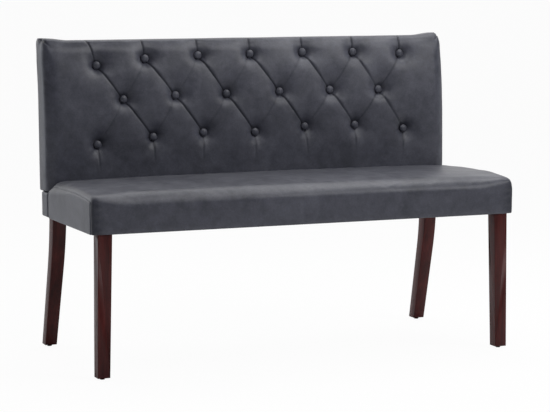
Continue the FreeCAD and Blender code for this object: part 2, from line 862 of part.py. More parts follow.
def face_y(height):
    # Smooth front face of the back, upright at the seat and leaning away towards the top
    straight_top = deck_top + size.back_straight_height
    if float(height) <= float(straight_top):
        return back_face_y
    share = (height - straight_top) / (size.post_top - straight_top)
    return back_face_y + size.back_lean * share ** lean_power


def button_places(number):
    # Centre and seat of each button in one row
    shifts = button_shift_shares[number]
    middle = (len(shifts) - 1) / 2
    places = []
    for order, (across, up) in enumerate(shifts):
        x = size.column_spacing * (order - middle + across)
        z = row_heights[number] + size.row_spacing * up
        places.append((x, face_y(z) + size.button_seat_depth, z))
    return places


class Spot:
    # A point of the quilt: where it is, how deep it lies behind the smooth face, and its kind
    def __init__(self, x, z, depth, kind="plain"):
        self.x, self.z, self.depth, self.kind = x, z, depth, kind

    def at(self, inset):
        return vector(self.x, face_y(self.z) + self.depth + inset, self.z)


def halfway(first, last):
    # The middle of a seam or edge between two spots
    kinds = {first.kind, last.kind}
    depth = -size.edge_crown
    if kinds == {"button"}:
        depth = size.fold_depth
    elif kinds == {"button", "upper pleat"}:
        depth = size.pleat_depth
    elif kinds == {"button", "lower pleat"}:
        depth = size.lower_pleat_depth
    elif kinds == {"end"}:
        depth = size.end_drop
    return Spot((first.x + last.x) / 2, (first.z + last.z) / 2, depth)


def quilt_panel(corners, inset):
    # A doubly curved panel through its four corners, the middles of its edges and its own crown
    first, second, third, fourth = corners
    crown_x = (first.x + second.x + third.x + fourth.x) / 4
    crown_z = (first.z + second.z + third.z + fourth.z) / 4
    crown = Spot(crown_x, crown_z, -size.pillow_crown)
    rows = [
        [first, halfway(first, second), second],
        [halfway(fourth, first), crown, halfway(second, third)],
        [fourth, halfway(third, fourth), third],
    ]
    through = [[spot.at(inset) for spot in row] for row in rows]

    def pulled(line):
        return [line[0], line[1] * 2 - (line[0] + line[2]) / 2, line[2]]

    through = [pulled(row) for row in through]
    columns = [pulled([row[order] for row in through]) for order in range(3)]
    surface = Part.BezierSurface()
    surface.increase(2, 2)
    for across, column in enumerate(columns, start=1):
        for down, pole in enumerate(column, start=1):
            surface.setPole(down, across, pole)
    return surface.toShape()


def quilt_panels(inset):
    top, middle, bottom = (
        [Spot(x, z, size.tuft_depth, "button") for x, _, z in button_places(number)]
        for number in range(len(row_names)))
    above = [Spot(spot.x, quilt_high_z, size.pleat_depth, "upper pleat") for spot in top]
    below = [Spot(spot.x, quilt_low_z, nothing, "lower pleat") for spot in bottom]
    above_middle = [Spot(spot.x, quilt_high_z, nothing) for spot in middle]
    below_middle = [Spot(spot.x, quilt_low_z, nothing) for spot in middle]
    quilt = []
    for order, spot in enumerate(middle):
        following = order + 1
        quilt.append((above[order], top[order], spot, above_middle[order]))
        quilt.append((above_middle[order], spot, top[following], above[following]))
        quilt.append((below[order], bottom[order], spot, below_middle[order]))
        quilt.append((below_middle[order], spot, bottom[following], below[following]))
        if order > 0:
            quilt.append((top[order], spot, bottom[order], middle[order - 1]))
    for end, side_x in ((0, -quilt_side_x), (-1, quilt_side_x)):
        heights = [quilt_high_z] + row_heights + [quilt_low_z]
        edge = [Spot(side_x, height, size.end_drop, "end") for height in heights]
        inner = [above[end], top[end], middle[end], bottom[end], below[end]]
        for order in range(len(edge) - 1):
            quilt.append((inner[order], inner[order + 1], edge[order + 1], edge[order]))
    return [quilt_panel(corners, inset) for corners in quilt]


def quilt_wall(shell, ends, value):
    # Flat wall that closes the quilt on one of its four sides
    tolerance = float(size.fit_gap) / 10
    edges = [
        edge for edge in shell.Edges
        if all(abs(getattr(edge.BoundBox, end) - float(value)) < tolerance for end in ends)
    ]
    points = [vertex.Point for edge in edges for vertex in edge.Vertexes]
    low, high = (pick(points, key=lambda point: point.x + point.z) for pick in (min, max))
    low_rear, high_rear = (Vector(point.x, float(quilt_rear_y), point.z) for point in (low, high))
    for first, last in ((low, low_rear), (low_rear, high_rear), (high_rear, high)):
        edges.append(Part.makeLine(first, last))
    return Part.Face(Part.Wire(Part.__sortEdges__(edges)))


def quilt_block(inset):
    # Everything behind the tufted face, wider and taller than the back
    shell = Part.makeShell(quilt_panels(inset))
    shell.sewShape()
    faces = list(shell.Faces)
    faces += [quilt_wall(shell, ("XMin", "XMax"), value) for value in (-quilt_side_x, quilt_side_x)]
    faces += [quilt_wall(shell, ("ZMin", "ZMax"), value) for value in (quilt_low_z, quilt_high_z)]
    corners = [
        vector(x, quilt_rear_y, z)
        for x, z in ((-quilt_side_x, quilt_low_z), (quilt_side_x, quilt_low_z),
                     (quilt_side_x, quilt_high_z), (-quilt_side_x, quilt_high_z))
    ]
    faces.append(Part.Face(Part.makePolygon(corners + corners[:1])))
    block = Part.makeShell(faces)
    block.sewShape()
    return Part.Solid(block)


rear_bend_shares = (0.29, 0.31)
front_bend_shares = (0.35, 0.28)


def back_side_rows():
    # Side view of the back: lower block, leaning rear, rounded top, and room in front of the quilt
    block_rear = post_rear_y + size.lower_block_padding
    radius = size.lower_block_padding
    curve, rise = size.back_top_front_radius, size.back_top_rear_radius
    rear_rows = frame_rows[1:]
    top_rear = rear_rows[-1][0] + size.rear_padding
    top_front = face_y(size.post_top)
    front = back_face_y - size.back_front_allowance
    step = size.back_front_allowance * 2
    return [
        (seat_rear, skin_bottom),
        (post_rear_y, skin_bottom),
        (post_rear_y + radius * arc_middle_share, skin_bottom + radius * (1 - arc_middle_share), "bend"),
        (block_rear, skin_bottom + radius),
        (block_rear, lower_block_top),
        (post_rear_y + size.rear_padding_at_block, lower_block_top),
        (rear_rows[0][0] + size.rear_padding, rear_rows[0][1]),
        (rear_rows[1][0] + size.rear_padding, rear_rows[1][1], "bend"),
        (top_rear, size.post_top),
        (top_rear - rise * rear_bend_shares[0], back_top - rise * rear_bend_shares[1], "bend"),
        (top_rear - rise, back_top),
        (top_front + curve, back_top),
        (top_front + curve * front_bend_shares[0], back_top - curve * front_bend_shares[1], "bend"),
        (top_front, size.post_top),
        (front, top_row_height - step),
        (front, deck_top + step * 1.5),
        (seat_rear, deck_top + step * 0.5),
    ]


def buttons_cut(inset):
    radius = float(size.button_radius + size.button_clearance) + inset
    tools = []
    for number in range(len(row_names)):
        for x, y, z in button_places(number):
            front = vector(x, seat_front, z)
            tools.append(Part.makeCylinder(radius, float(y) + inset - front.y, front, Vector(0, 1, 0)))
    return tools


def back_form(inset):
    front = float(back_face_y - size.back_front_allowance)
    form = side_prism(wire_of(back_side_rows()), inset)
    form = form.common(front_prism(back_front_shares, inset, skin_bottom, back_top))
    form = form.common(plan_prism(size.back_corner_radius, front, float(quilt_rear_y), inset))
    return quilt_block(inset).common(form).cut(buttons_cut(inset))


outer_back = back_form(0)
back_padding = back_form(cover)


# Buttons, with twine through the foam to washers behind the tufting board

rear_board_zone = frame_layer("rear_board_zone", nothing, size.rear_board_thickness, frame_width)
rear_board_bottom = lower_block_top + size.cover_thickness + size.rear_board_thickness
rear_board = keep(
    "rear_board", between_heights("rear_board", rear_board_zone, rear_board_bottom, size.post_top))
board_front = -frame_depth - size.back_board_thickness
board_zone = frame_layer("board_zone", board_front, -frame_depth, frame_width)
board_blank = between_heights("board_blank", board_zone, size.frame_bottom, size.post_top)
washer_zone = frame_layer(
    "washer_zone", -frame_depth, size.twine_washer_thickness - frame_depth, frame_width)
twine_zone = frame_layer(
    "twine_zone", -frame_depth * 3, size.twine_washer_thickness - frame_depth, frame_width)

button_rim_share = 0.3
button_dome = size.button_height * (1 - button_rim_share)
dome_radius = (size.button_radius * size.button_radius / button_dome + button_dome) / 2
twine_rods, washer_rods = [], []
for number, row_name in enumerate(row_names):
    buttons = []
    for order, (x, y, z) in enumerate(button_places(number)):
        name = f"{row_name}_{order}"
        blank = rod(f"button_blank_{name}", size.button_radius, size.button_height,
                    (x, y - size.button_height, z), "back")
        dome = doc.addObject("Part::Sphere", f"button_dome_{name}")
        bind(dome, Radius=dome_radius)
        move(dome, (x, y - size.button_height + dome_radius, z))
        buttons.append(shared(f"button_{name}", blank, dome))
        twine_reach = frame_depth * 2
        twine_rods.append(rod(f"twine_{name}", size.twine_radius, twine_reach, (x, y, z), "back"))
        washer_rods.append(rod(f"washer_{name}", size.twine_washer_radius, twine_reach, (x, y, z), "back"))
    keep(f"{row_name}_row_buttons", group(f"{row_name}_row_buttons", buttons))
all_twines = group("all_twines", twine_rods)
keep("button_twines", shared("button_twines", all_twines, twine_zone))
washer_blanks = shared("washer_blanks", group("all_washers", washer_rods), washer_zone)
keep("twine_washers", cut("twine_washers", washer_blanks, all_twines))
keep("tufting_board", cut("tufting_board", board_blank, group("board_holes", [all_twines, seat_bolt_holes])))
doc.recompute()

twine_bores = all_twines.Shape
behind_rows = shifted(frame_rows, lambda row: nothing)
behind_frame = Part.Face(wire_of(behind_rows + [
    (frame_rows[-1][0], quilt_high_z),
    (quilt_rear_y, quilt_high_z),
    (quilt_rear_y, size.frame_bottom),
])).extrude(vector(size.bench_width, nothing, nothing))
behind_frame.translate(vector(-half_width, nothing, nothing))
core = [frame_zone.Shape, board_blank.Shape, behind_frame, twine_bores, holes]
keep("back_foam", formed("back_foam", back_padding.cut(core)))
keep("rear_padding", formed("rear_padding", back_padding.common(behind_frame).cut(rear_board.Shape)))

back_skin = outer_back.cut(back_padding).cut(twine_bores)
lower_zone = block_between(
    (-half_width - overrun, seat_front, nothing),
    (half_width + overrun, quilt_rear_y, lower_block_top))
wrap = size.rear_wrap
rear_zone = block_between(
    (-half_width + wrap, post_rear_y, lower_block_top),
    (half_width - wrap, quilt_rear_y, back_top - wrap * 2))
back_leg_notch = block_between(
    (post_inner_x - size.fit_gap, post_front_y - size.fit_gap, skin_bottom - overrun),
    (post_outer_x + size.fit_gap, post_rear_y + size.fit_gap, size.frame_bottom))
lower_cover = back_skin.common(lower_zone).cut(both_halves(back_leg_notch)).cut(holes)
keep("back_lower_cover", formed("back_lower_cover", lower_cover))
keep("back_rear_cover", formed("back_rear_cover", back_skin.common(rear_zone)))
keep("back_front_cover", formed("back_front_cover", back_skin.cut([lower_zone, rear_zone])))
doc.recompute()

for thing in doc.Objects:
    if any(word in thing.State for word in ("Invalid", "Error")):
        raise RuntimeError(f"{thing.Name} did not build: {thing.State}")
for piece in pieces:
    if piece.Shape.isNull() or not piece.Shape.isValid() or not piece.Shape.Solids:
        raise RuntimeError(f"{piece.Label} has no valid solid")

os.makedirs("parts", exist_ok=True)
for piece in pieces:
    piece.Shape.exportStep(f"parts/{piece.Label}.step")
    print(piece.Label, len(piece.Shape.Solids), "solids,", round(piece.Shape.Volume / 1000, 1), "cm3")
print(len(pieces), "pieces")
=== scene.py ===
import math
import bmesh
import bpy
import numpy as np
from mathutils import Matrix, Vector


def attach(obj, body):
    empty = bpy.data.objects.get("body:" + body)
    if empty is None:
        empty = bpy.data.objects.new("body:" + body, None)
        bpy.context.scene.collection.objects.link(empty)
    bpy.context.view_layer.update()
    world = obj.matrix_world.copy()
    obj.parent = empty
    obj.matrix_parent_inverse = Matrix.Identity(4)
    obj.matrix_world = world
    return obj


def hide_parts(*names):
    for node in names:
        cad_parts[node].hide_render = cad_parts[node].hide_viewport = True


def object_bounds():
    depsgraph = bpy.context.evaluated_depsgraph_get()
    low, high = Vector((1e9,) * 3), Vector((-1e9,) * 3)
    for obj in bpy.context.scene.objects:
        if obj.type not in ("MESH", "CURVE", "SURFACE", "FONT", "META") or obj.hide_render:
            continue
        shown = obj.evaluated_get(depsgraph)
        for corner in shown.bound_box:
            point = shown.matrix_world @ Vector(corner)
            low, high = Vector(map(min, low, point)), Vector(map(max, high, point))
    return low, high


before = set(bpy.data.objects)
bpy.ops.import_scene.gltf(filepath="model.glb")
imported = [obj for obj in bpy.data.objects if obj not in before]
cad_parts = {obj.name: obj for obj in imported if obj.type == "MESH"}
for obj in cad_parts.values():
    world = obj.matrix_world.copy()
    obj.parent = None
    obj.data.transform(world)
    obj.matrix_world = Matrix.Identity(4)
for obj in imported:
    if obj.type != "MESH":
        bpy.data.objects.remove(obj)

# Button tufted bench: covers, buttons, legs, studio and camera. Metres, seat front towards -Y.

def plainBox():
    return [[float(value) for value in corner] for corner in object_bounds()]


cadBox = plainBox()
half = cadBox[1][0]
scene = bpy.context.scene
scene.view_settings.view_transform = "Standard"


# Small helpers for meshes

def vectorsOf(rows, key):
    flat = np.empty(len(rows) * 3, dtype=np.float32)
    rows.foreach_get(key, flat)
    return flat.reshape(-1, 3).astype(float)


def meshPoints(mesh):
    return vectorsOf(mesh.vertices, "co")


def meshNormals(mesh):
    return vectorsOf(mesh.vertex_normals, "vector")


def setMeshPoints(mesh, points):
    mesh.vertices.foreach_set("co", np.asarray(points, dtype=np.float32).ravel())
    mesh.update()


def bmPoints(bm):
    return np.array([v.co[:] for v in bm.verts])


def bmNormals(bm):
    bm.normal_update()
    return np.array([v.normal[:] for v in bm.verts])


def setBmPoints(bm, points):
    for v, p in zip(bm.verts, points):
        v.co = p


def newObject(name, data):
    thing = bpy.data.objects.new(name, data)
    scene.collection.objects.link(thing)
    return thing


def newPiece(name, bm, material):
    mesh = bpy.data.meshes.new(name)
    bm.to_mesh(mesh)
    bm.free()
    mesh.shade_smooth()
    piece = newObject(name, mesh)
    mesh.materials.append(material)
    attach(piece, "root")
    return piece


def smoothStep(value, low, high):
    t = np.clip((value - low) / (high - low), 0, 1)
    return t * t * (3 - 2 * t)


def makeActive(piece):
    for other in bpy.context.selected_objects:
        other.select_set(False)
    piece.select_set(True)
    bpy.context.view_layer.objects.active = piece


def applyModifiers(piece):
    makeActive(piece)
    for modifier in list(piece.modifiers):
        bpy.ops.object.modifier_apply(modifier=modifier.name)


# Materials

def startMaterial(name):
    material = bpy.data.materials.new(name)
    material.use_nodes = True
    tree = material.node_tree
    coords = tree.nodes.new("ShaderNodeTexCoord")
    return material, tree, tree.nodes["Principled BSDF"], coords.outputs["Object"]


def feed(tree, socket, value):
    # A socket takes a link, a colour or a number
    if hasattr(value, "is_output"):
        tree.links.new(value, socket)
    elif isinstance(value, tuple):
        socket.default_value = (*value, 1)
    else:
        socket.default_value = value


def feedAll(tree, node, values):
    for key, value in values.items():
        feed(tree, node.inputs[key], value)


def addNode(tree, kind, values):
    node = tree.nodes.new(f"ShaderNode{kind}")
    feedAll(tree, node, values)
    return node


def mapped(tree, coords, scale):
    return addNode(tree, "Mapping", {"Vector": coords, "Scale": list(scale)}).outputs["Vector"]


def noiseTexture(tree, coords, scale, detail=3, roughness=0.5, distortion=0):
    noise = addNode(tree, "TexNoise", {"Vector": coords, "Scale": scale, "Detail": detail,
                                       "Roughness": roughness, "Distortion": distortion})
    return noise.outputs["Fac"]


def voronoiTexture(tree, coords, scale, uneven=1):
    return addNode(tree, "TexVoronoi", {"Vector": coords, "Scale": scale, "Randomness": uneven})


def waveTexture(tree, coords, direction, scale, distortion=0):
    wave = addNode(tree, "TexWave", {"Vector": coords, "Scale": scale, "Distortion": distortion})
    wave.bands_direction = direction
    return wave


def colourRamp(tree, value, stops):
    ramp = tree.nodes.new("ShaderNodeValToRGB")
    elements = ramp.color_ramp.elements
    while len(elements) < len(stops):
        elements.new(0.5)
    for element, (place, colour) in zip(elements, stops):
        element.position = place
        element.color = (*colour, 1)
    tree.links.new(value, ramp.inputs["Fac"])
    return ramp.outputs["Color"]


def threeShades(tree, value, places, look):
    shades = (look["dark"], look["middle"], look["light"])
    return colourRamp(tree, value, tuple(zip(places, shades)))


def rangeOf(tree, value, low, high, fromLow=0.3, fromHigh=0.7):
    remap = addNode(tree, "MapRange", {"Value": value, "From Min": fromLow, "From Max": fromHigh,
                                       "To Min": low, "To Max": high})
    return remap.outputs["Result"]


def mixColours(tree, factor, first, second, blend="MIX"):
    mix = tree.nodes.new("ShaderNodeMix")
    mix.data_type = "RGBA"
    mix.blend_type = blend
    feedAll(tree, mix, {0: factor, 6: first, 7: second})
    return mix.outputs[2]


def maths(tree, operation, first, second):
    node = addNode(tree, "Math", {0: first, 1: second})
    node.operation = operation
    return node.outputs[0]


def bumped(tree, height, distance, strength, under=None):
    values = {"Height": height, "Distance": distance, "Strength": strength}
    if under is not None:
        values["Normal"] = under
    return addNode(tree, "Bump", values).outputs["Normal"]


def dress(tree, shader, colour, rough, normal):
    feedAll(tree, shader, {"Base Color": colour, "Roughness": rough, "Normal": normal})


hideLook = {
    "dark": (0.032, 0.034, 0.047), "middle": (0.044, 0.046, 0.065), "light": (0.058, 0.061, 0.085),
    "cloudScale": 9.0, "spotScale": 38.0, "spotShare": 0.45, "fibreScale": 230.0, "fibreLow": 0.86,
    "fibreHigh": 1.14, "rippleScale": 24.0, "grainScale": 620.0, "roughLow": 0.36, "roughHigh": 0.50,
    "specularLow": 0.44, "specularHigh": 0.58, "sheenLow": 0.04, "sheenHigh": 0.16, "sheenRoughness": 0.5,
    # crease is the colour of painted shade in creases, button hollows and the seat's front corners
    "crease": (0.0045, 0.0048, 0.0070), "rippleBump": (0.0010, 0.4), "fibreBump": (0.0003, 0.5),
    "grainBump": (0.0002, 0.35),
}


def hideMaterial():
    # Charcoal faux suede with a satin face: cloudy colour, small scuffs, a fine grain and painted shade in
    # creases and hollows
    look = hideLook
    material, tree, shader, coords = startMaterial("charcoalHide")
    clouds = noiseTexture(tree, coords, look["cloudScale"], 5, 0.62, 0.6)
    spots = noiseTexture(tree, coords, look["spotScale"], 6, 0.68, 0.3)
    fibres = noiseTexture(tree, coords, look["fibreScale"], 4, 0.6)
    cloudColour = threeShades(tree, clouds, (0.32, 0.50, 0.70), look)
    spotColour = threeShades(tree, spots, (0.36, 0.52, 0.66), look)
    colour = mixColours(tree, look["spotShare"], cloudColour, spotColour)
    fibreShade = rangeOf(tree, fibres, look["fibreLow"], look["fibreHigh"])
    colour = mixColours(tree, 1.0, colour, fibreShade, "MULTIPLY")
    # Painted shade of creases, button hollows and seat corners, kept on the piece's points, darkens the
    # colour towards the crease colour and dims the gloss
    paintedShade = tree.nodes.new("ShaderNodeAttribute")
    paintedShade.attribute_name = "paintedShade"
    colour = mixColours(tree, paintedShade.outputs["Fac"], colour, look["crease"])
    patches = mixColours(tree, 0.5, clouds, spots)
    gloss = rangeOf(tree, patches, look["specularLow"], look["specularHigh"], 0.38, 0.62)
    unshaded = maths(tree, "SUBTRACT", 1, paintedShade.outputs["Fac"])
    sheen = rangeOf(tree, patches, look["sheenLow"], look["sheenHigh"], 0.38, 0.62)
    feedAll(tree, shader, {"Specular IOR Level": maths(tree, "MULTIPLY", gloss, unshaded),
                           "Sheen Weight": sheen, "Sheen Roughness": look["sheenRoughness"]})
    grain = voronoiTexture(tree, coords, look["grainScale"])
    grain.feature = "SMOOTH_F1"
    ripple = noiseTexture(tree, coords, look["rippleScale"], 4, 0.55, 0.8)
    normal = bumped(tree, ripple, *look["rippleBump"])
    normal = bumped(tree, fibres, *look["fibreBump"], normal)
    normal = bumped(tree, grain.outputs["Distance"], *look["grainBump"], normal)
    dress(tree, shader, colour, rangeOf(tree, spots, look["roughLow"], look["roughHigh"]), normal)
    return material


woodLook = {
    "dark": (0.020, 0.0026, 0.0026), "middle": (0.058, 0.0070, 0.0064), "light": (0.096, 0.0145, 0.0120),
    "roughLow": 0.32, "roughHigh": 0.44,
}
woodGrain = {
    "stretch": 0.05, "bandScale": 55.0, "streakScale": 420.0, "streakShare": 0.40, "blotchScale": 14.0,
    "blotchLow": 0.82, "blotchHigh": 1.15, "poreScale": 1500.0, "specular": 0.22, "coatRoughness": 0.22,
    "streakBump": (0.0002, 0.35), "poreBump": (0.0001, 0.3),
}


def stainedWood(name, look, along="z", coat=0.03):
    # Stained hardwood: bands and streaks that run along the piece, open pores, a satin lacquer
    material, tree, shader, coords = startMaterial(name)
    grain = woodGrain
    stretch = [1, 1, 1]
    stretch["xyz".index(along)] = grain["stretch"]
    lengthways = mapped(tree, coords, stretch)
    bands = noiseTexture(tree, lengthways, grain["bandScale"], 4, 0.55, 1.2)
    streaks = noiseTexture(tree, lengthways, grain["streakScale"], 5, 0.7, 0.3)
    blotches = noiseTexture(tree, coords, grain["blotchScale"], 3, 0.5)
    pores = noiseTexture(tree, lengthways, grain["poreScale"], 2, 0.5)
    colour = threeShades(tree, bands, (0.30, 0.52, 0.74), look)
    streakColour = threeShades(tree, streaks, (0.34, 0.55, 0.70), look)
    colour = mixColours(tree, grain["streakShare"], colour, streakColour)
    blotchShade = rangeOf(tree, blotches, grain["blotchLow"], grain["blotchHigh"])
    colour = mixColours(tree, 1.0, colour, blotchShade, "MULTIPLY")
    rough = rangeOf(tree, streaks, look["roughLow"], look["roughHigh"])
    feedAll(tree, shader, {"Specular IOR Level": grain["specular"], "Coat Weight": coat,
                           "Coat Roughness": grain["coatRoughness"]})
    normal = bumped(tree, streaks, *grain["streakBump"])
    dress(tree, shader, colour, rough, bumped(tree, pores, *grain["poreBump"], normal))
    return material


plyLook = {"dark": (0.42, 0.27, 0.13), "light": (0.60, 0.43, 0.24), "stretch": (0.05, 1, 1),
           "grainScale": 90.0, "veneerScale": 180.0, "veneerWarp": 0.4, "veneerShare": 0.25, "rough": 0.62,
           "bump": (0.0003, 0.4)}


def plyMaterial():
    # Plywood: pale face grain with veneer lines through its thickness
    look = plyLook
    material, tree, shader, coords = startMaterial("plywood")
    lengthways = mapped(tree, coords, look["stretch"])
    grain = noiseTexture(tree, lengthways, look["grainScale"], 5, 0.6, 0.8)
    veneers = waveTexture(tree, coords, "Z", look["veneerScale"], look["veneerWarp"])
    face = colourRamp(tree, grain, ((0.3, look["dark"]), (0.6, look["light"])))
    colour = mixColours(tree, look["veneerShare"], face, veneers.outputs["Color"], "MULTIPLY")
    dress(tree, shader, colour, look["rough"], bumped(tree, grain, *look["bump"]))
    return material


cellLook = {"shade": 0.6, "rough": 0.9, "bump": (0.0006, 0.6)}


def foamMaterial(name, colour, scale):
    # Open cells or loose fibres under the cover
    look = cellLook
    material, tree, shader, coords = startMaterial(name)
    cells = voronoiTexture(tree, coords, scale).outputs["Distance"]
    shade = tuple(part * look["shade"] for part in colour)
    cellColour = colourRamp(tree, cells, ((0.2, shade), (0.7, colour)))
    dress(tree, shader, cellColour, look["rough"], bumped(tree, cells, *look["bump"]))
    return material


spunLook = {"dark": (0.008, 0.008, 0.009), "light": (0.026, 0.026, 0.028), "dimpleScale": 420.0,
            "uneven": 0.15, "threadScale": 900.0, "rough": 0.82, "threadBump": (0.0002, 0.5),
            "dimpleBump": (0.0004, 0.5)}


def dustClothMaterial():
    # Black spun cloth with its dimpled bonding pattern
    look = spunLook
    material, tree, shader, coords = startMaterial("dustCloth")
    dimples = voronoiTexture(tree, coords, look["dimpleScale"], look["uneven"])
    threads = noiseTexture(tree, coords, look["threadScale"], 4, 0.7)
    colour = colourRamp(tree, threads, ((0.35, look["dark"]), (0.65, look["light"])))
    normal = bumped(tree, threads, *look["threadBump"])
    normal = bumped(tree, dimples.outputs["Distance"], *look["dimpleBump"], normal)
    dress(tree, shader, colour, look["rough"], normal)
    return material


metalLook = {"scuffScale": 380.0, "dull": 0.75, "smoother": 0.08, "rougher": 0.12, "bump": (0.0001, 0.3)}


def metalMaterial(name, colour, rough, metallic=1.0):
    # Plated or painted steel with faint turning marks and scuffs
    look = metalLook
    material, tree, shader, coords = startMaterial(name)
    scuffs = noiseTexture(tree, coords, look["scuffScale"], 4, 0.6)
    dull = tuple(part * look["dull"] for part in colour)
    scuffed = colourRamp(tree, scuffs, ((0.35, dull), (0.65, colour)))
    worn = rangeOf(tree, scuffs, rough - look["smoother"], rough + look["rougher"])
    shader.inputs["Metallic"].default_value = metallic
    dress(tree, shader, scuffed, worn, bumped(tree, scuffs, *look["bump"]))
    return material


twineLook = {"dark": (0.30, 0.25, 0.17), "light": (0.62, 0.56, 0.44), "twistScale": 420.0, "rough": 0.7,
             "bump": (0.0002, 0.5)}


def twineMaterial():
    # Waxed twine with a laid twist
    look = twineLook
    material, tree, shader, coords = startMaterial("waxedTwine")
    strands = waveTexture(tree, coords, "DIAGONAL", look["twistScale"]).outputs["Fac"]
    colour = colourRamp(tree, strands, ((0.2, look["dark"]), (0.8, look["light"])))
    dress(tree, shader, colour, look["rough"], bumped(tree, strands, *look["bump"]))
    return material


hide = hideMaterial()
legWood = stainedWood("mahoganyStain", woodLook)
beechLook = {"dark": (0.33, 0.20, 0.10), "middle": (0.47, 0.31, 0.17), "light": (0.58, 0.41, 0.24),
             "roughLow": 0.5, "roughHigh": 0.65}
railWood = stainedWood("beechAlong", beechLook, "x", 0.0)
sideRailWood = stainedWood("beechAcross", beechLook, "y", 0.0)
uprightWood = stainedWood("beechUpright", beechLook, "z", 0.0)
plywood = plyMaterial()
foam = foamMaterial("seatFoam", (0.72, 0.68, 0.52), 700.0)
wadding = foamMaterial("polyesterWadding", (0.82, 0.82, 0.80), 240.0)
dustCloth = dustClothMaterial()
steel = metalMaterial("zincPlatedSteel", (0.52, 0.52, 0.54), 0.34)
glideSteel = metalMaterial("glideSteel", (0.030, 0.028, 0.028), 0.36, 0.6)
twine = twineMaterial()
print("materials made")


# CAD nodes that keep their shape get their finish here

nodeFinish = (
    (glideSteel, ("foot_glides",)),
    (railWood, ("seat_front_rail", "seat_back_rail", "seat_corner_blocks", "seat_frame_dowels",
                "back_bottom_rail", "back_lower_rail", "back_top_rail", "back_frame_dowels")),
    (sideRailWood, ("seat_left_rail", "seat_right_rail", "seat_cross_rails")),
    (uprightWood, ("back_stiles",)),
    (plywood, ("seat_deck", "tufting_board", "rear_board")),
    (steel, ("corner_block_screws", "deck_screws", "front_leg_bolts", "front_leg_washers", "front_leg_nuts",
             "seat_to_back_bolts", "seat_to_back_washers", "post_insert_nuts", "twine_washers")),
    (twine, ("button_twines",)),
)
for finish, nodeNames in nodeFinish:
    for nodeName in nodeNames:
        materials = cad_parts[nodeName].data.materials
        materials.clear()
        materials.append(finish)
print("frame finished")


# Legs: the CAD shape; the sharp long edges of the back legs are eased

legEdge = {"radius": 0.0011, "segments": 2, "sharpness": 0.7, "shortest": 0.01, "flat": 0.01, "crisp": 0.6}


def cadMesh(nodeName):
    bm = bmesh.new()
    bm.from_mesh(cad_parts[nodeName].data)
    bmesh.ops.remove_doubles(bm, verts=bm.verts, dist=1e-6)
    return bm


def buildLeg(nodeName, name, sharp):
    bm = cadMesh(nodeName)
    bmesh.ops.dissolve_limit(bm, angle_limit=legEdge["flat"], verts=bm.verts, edges=bm.edges)
    if sharp:
        corners = [e for e in bm.edges if len(e.link_faces) == 2 and e.calc_length() > legEdge["shortest"]
                   and e.calc_face_angle(0) > legEdge["sharpness"]]
        bmesh.ops.bevel(bm, geom=corners, offset=legEdge["radius"], offset_type="OFFSET", affect="EDGES",
                        segments=legEdge["segments"], profile=0.5, material=-1, clamp_overlap=True)
    bmesh.ops.triangulate(bm, faces=bm.faces)
    leg = newPiece(name, bm, legWood)
    leg.data.set_sharp_from_angle(angle=legEdge["crisp"])
    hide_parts(nodeName)


for side in ("left", "right"):
    buildLeg(f"front_leg_{side}", f"frontLeg_{side}", False)
    buildLeg(f"back_leg_{side}", f"backLeg_{side}", True)
print("legs made")


# Buttons, whose places come from the CAD rows

def buttonCentres(nodeName):
    bm = cadMesh(nodeName)
    centres, seen = [], set()
    for start in bm.verts:
        if start in seen:
            continue
        island, queue = [], [start]
        seen.add(start)
        while queue:
            v = queue.pop()
            island.append(v.co)
            for edge in v.link_edges:
                other = edge.other_vert(v)
                if other not in seen:
                    seen.add(other)
                    queue.append(other)
        low = [min(co[axis] for co in island) for axis in range(3)]
        high = [max(co[axis] for co in island) for axis in range(3)]
        centres.append(((low[0] + high[0]) / 2, high[1], (low[2] + high[2]) / 2))
    bm.free()
    return sorted(centres)


buttonLook = {"radius": 0.0112, "height": 0.0085, "rim": 0.0030, "domeSteps": 8, "turns": 40,
              "tuck": ((0.97, 0.45), (0.86, 0.1)), "pucker": 0.00022, "puckers": 13, "turnOn": 1.7}
topRow = buttonCentres("top_row_buttons")
middleRow = buttonCentres("middle_row_buttons")
bottomRow = buttonCentres("bottom_row_buttons")


def coveredButton(bm, centre, seed):
    # Domed button: cloth drawn over a shell, tucked in behind its rim
    look = buttonLook
    radius, height, rim = look["radius"], look["height"], look["rim"]
    single = bmesh.new()
    profile = [(0, -height)]
    for order in range(1, look["domeSteps"] + 1):
        angle = order / look["domeSteps"] * math.pi / 2
        profile.append((radius * math.sin(angle), -rim - (height - rim) * math.cos(angle)))
    profile += [(radius * across, -rim * deep) for across, deep in look["tuck"]] + [(0, 0)]
    verts = [single.verts.new((across, deep, 0)) for across, deep in profile]
    edges = [single.edges.new(pair) for pair in zip(verts, verts[1:])]
    bmesh.ops.spin(single, geom=verts + edges, cent=(0, 0, 0), axis=(0, 1, 0), angle=2 * math.pi,
                   steps=look["turns"], use_merge=True)
    bmesh.ops.remove_doubles(single, verts=single.verts, dist=1e-5)
    bmesh.ops.recalc_face_normals(single, faces=single.faces)
    for v in single.verts:
        spread = math.hypot(v.co.x, v.co.z) / radius
        turn = math.atan2(v.co.z, v.co.x)
        v.co.y += look["pucker"] * spread ** 3 * math.sin(turn * look["puckers"] + seed)
    bmesh.ops.translate(single, verts=single.verts, vec=centre)
    step = bpy.data.meshes.new("buttonStep")
    single.to_mesh(step)
    single.free()
    bm.from_mesh(step)
    bpy.data.meshes.remove(step)


def buttonRow(name, nodeName, centres):
    bm = bmesh.new()
    for order, centre in enumerate(centres):
        coveredButton(bm, centre, order * buttonLook["turnOn"])
    row = newPiece(name, bm, hide)
    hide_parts(nodeName)


buttonRow("topRowButtons", "top_row_buttons", topRow)
buttonRow("middleRowButtons", "middle_row_buttons", middleRow)
buttonRow("bottomRowButtons", "bottom_row_buttons", bottomRow)
print("buttons covered:", len(topRow) + len(middleRow) + len(bottomRow))


# Blocks with rounded edges, cut into a fine grid

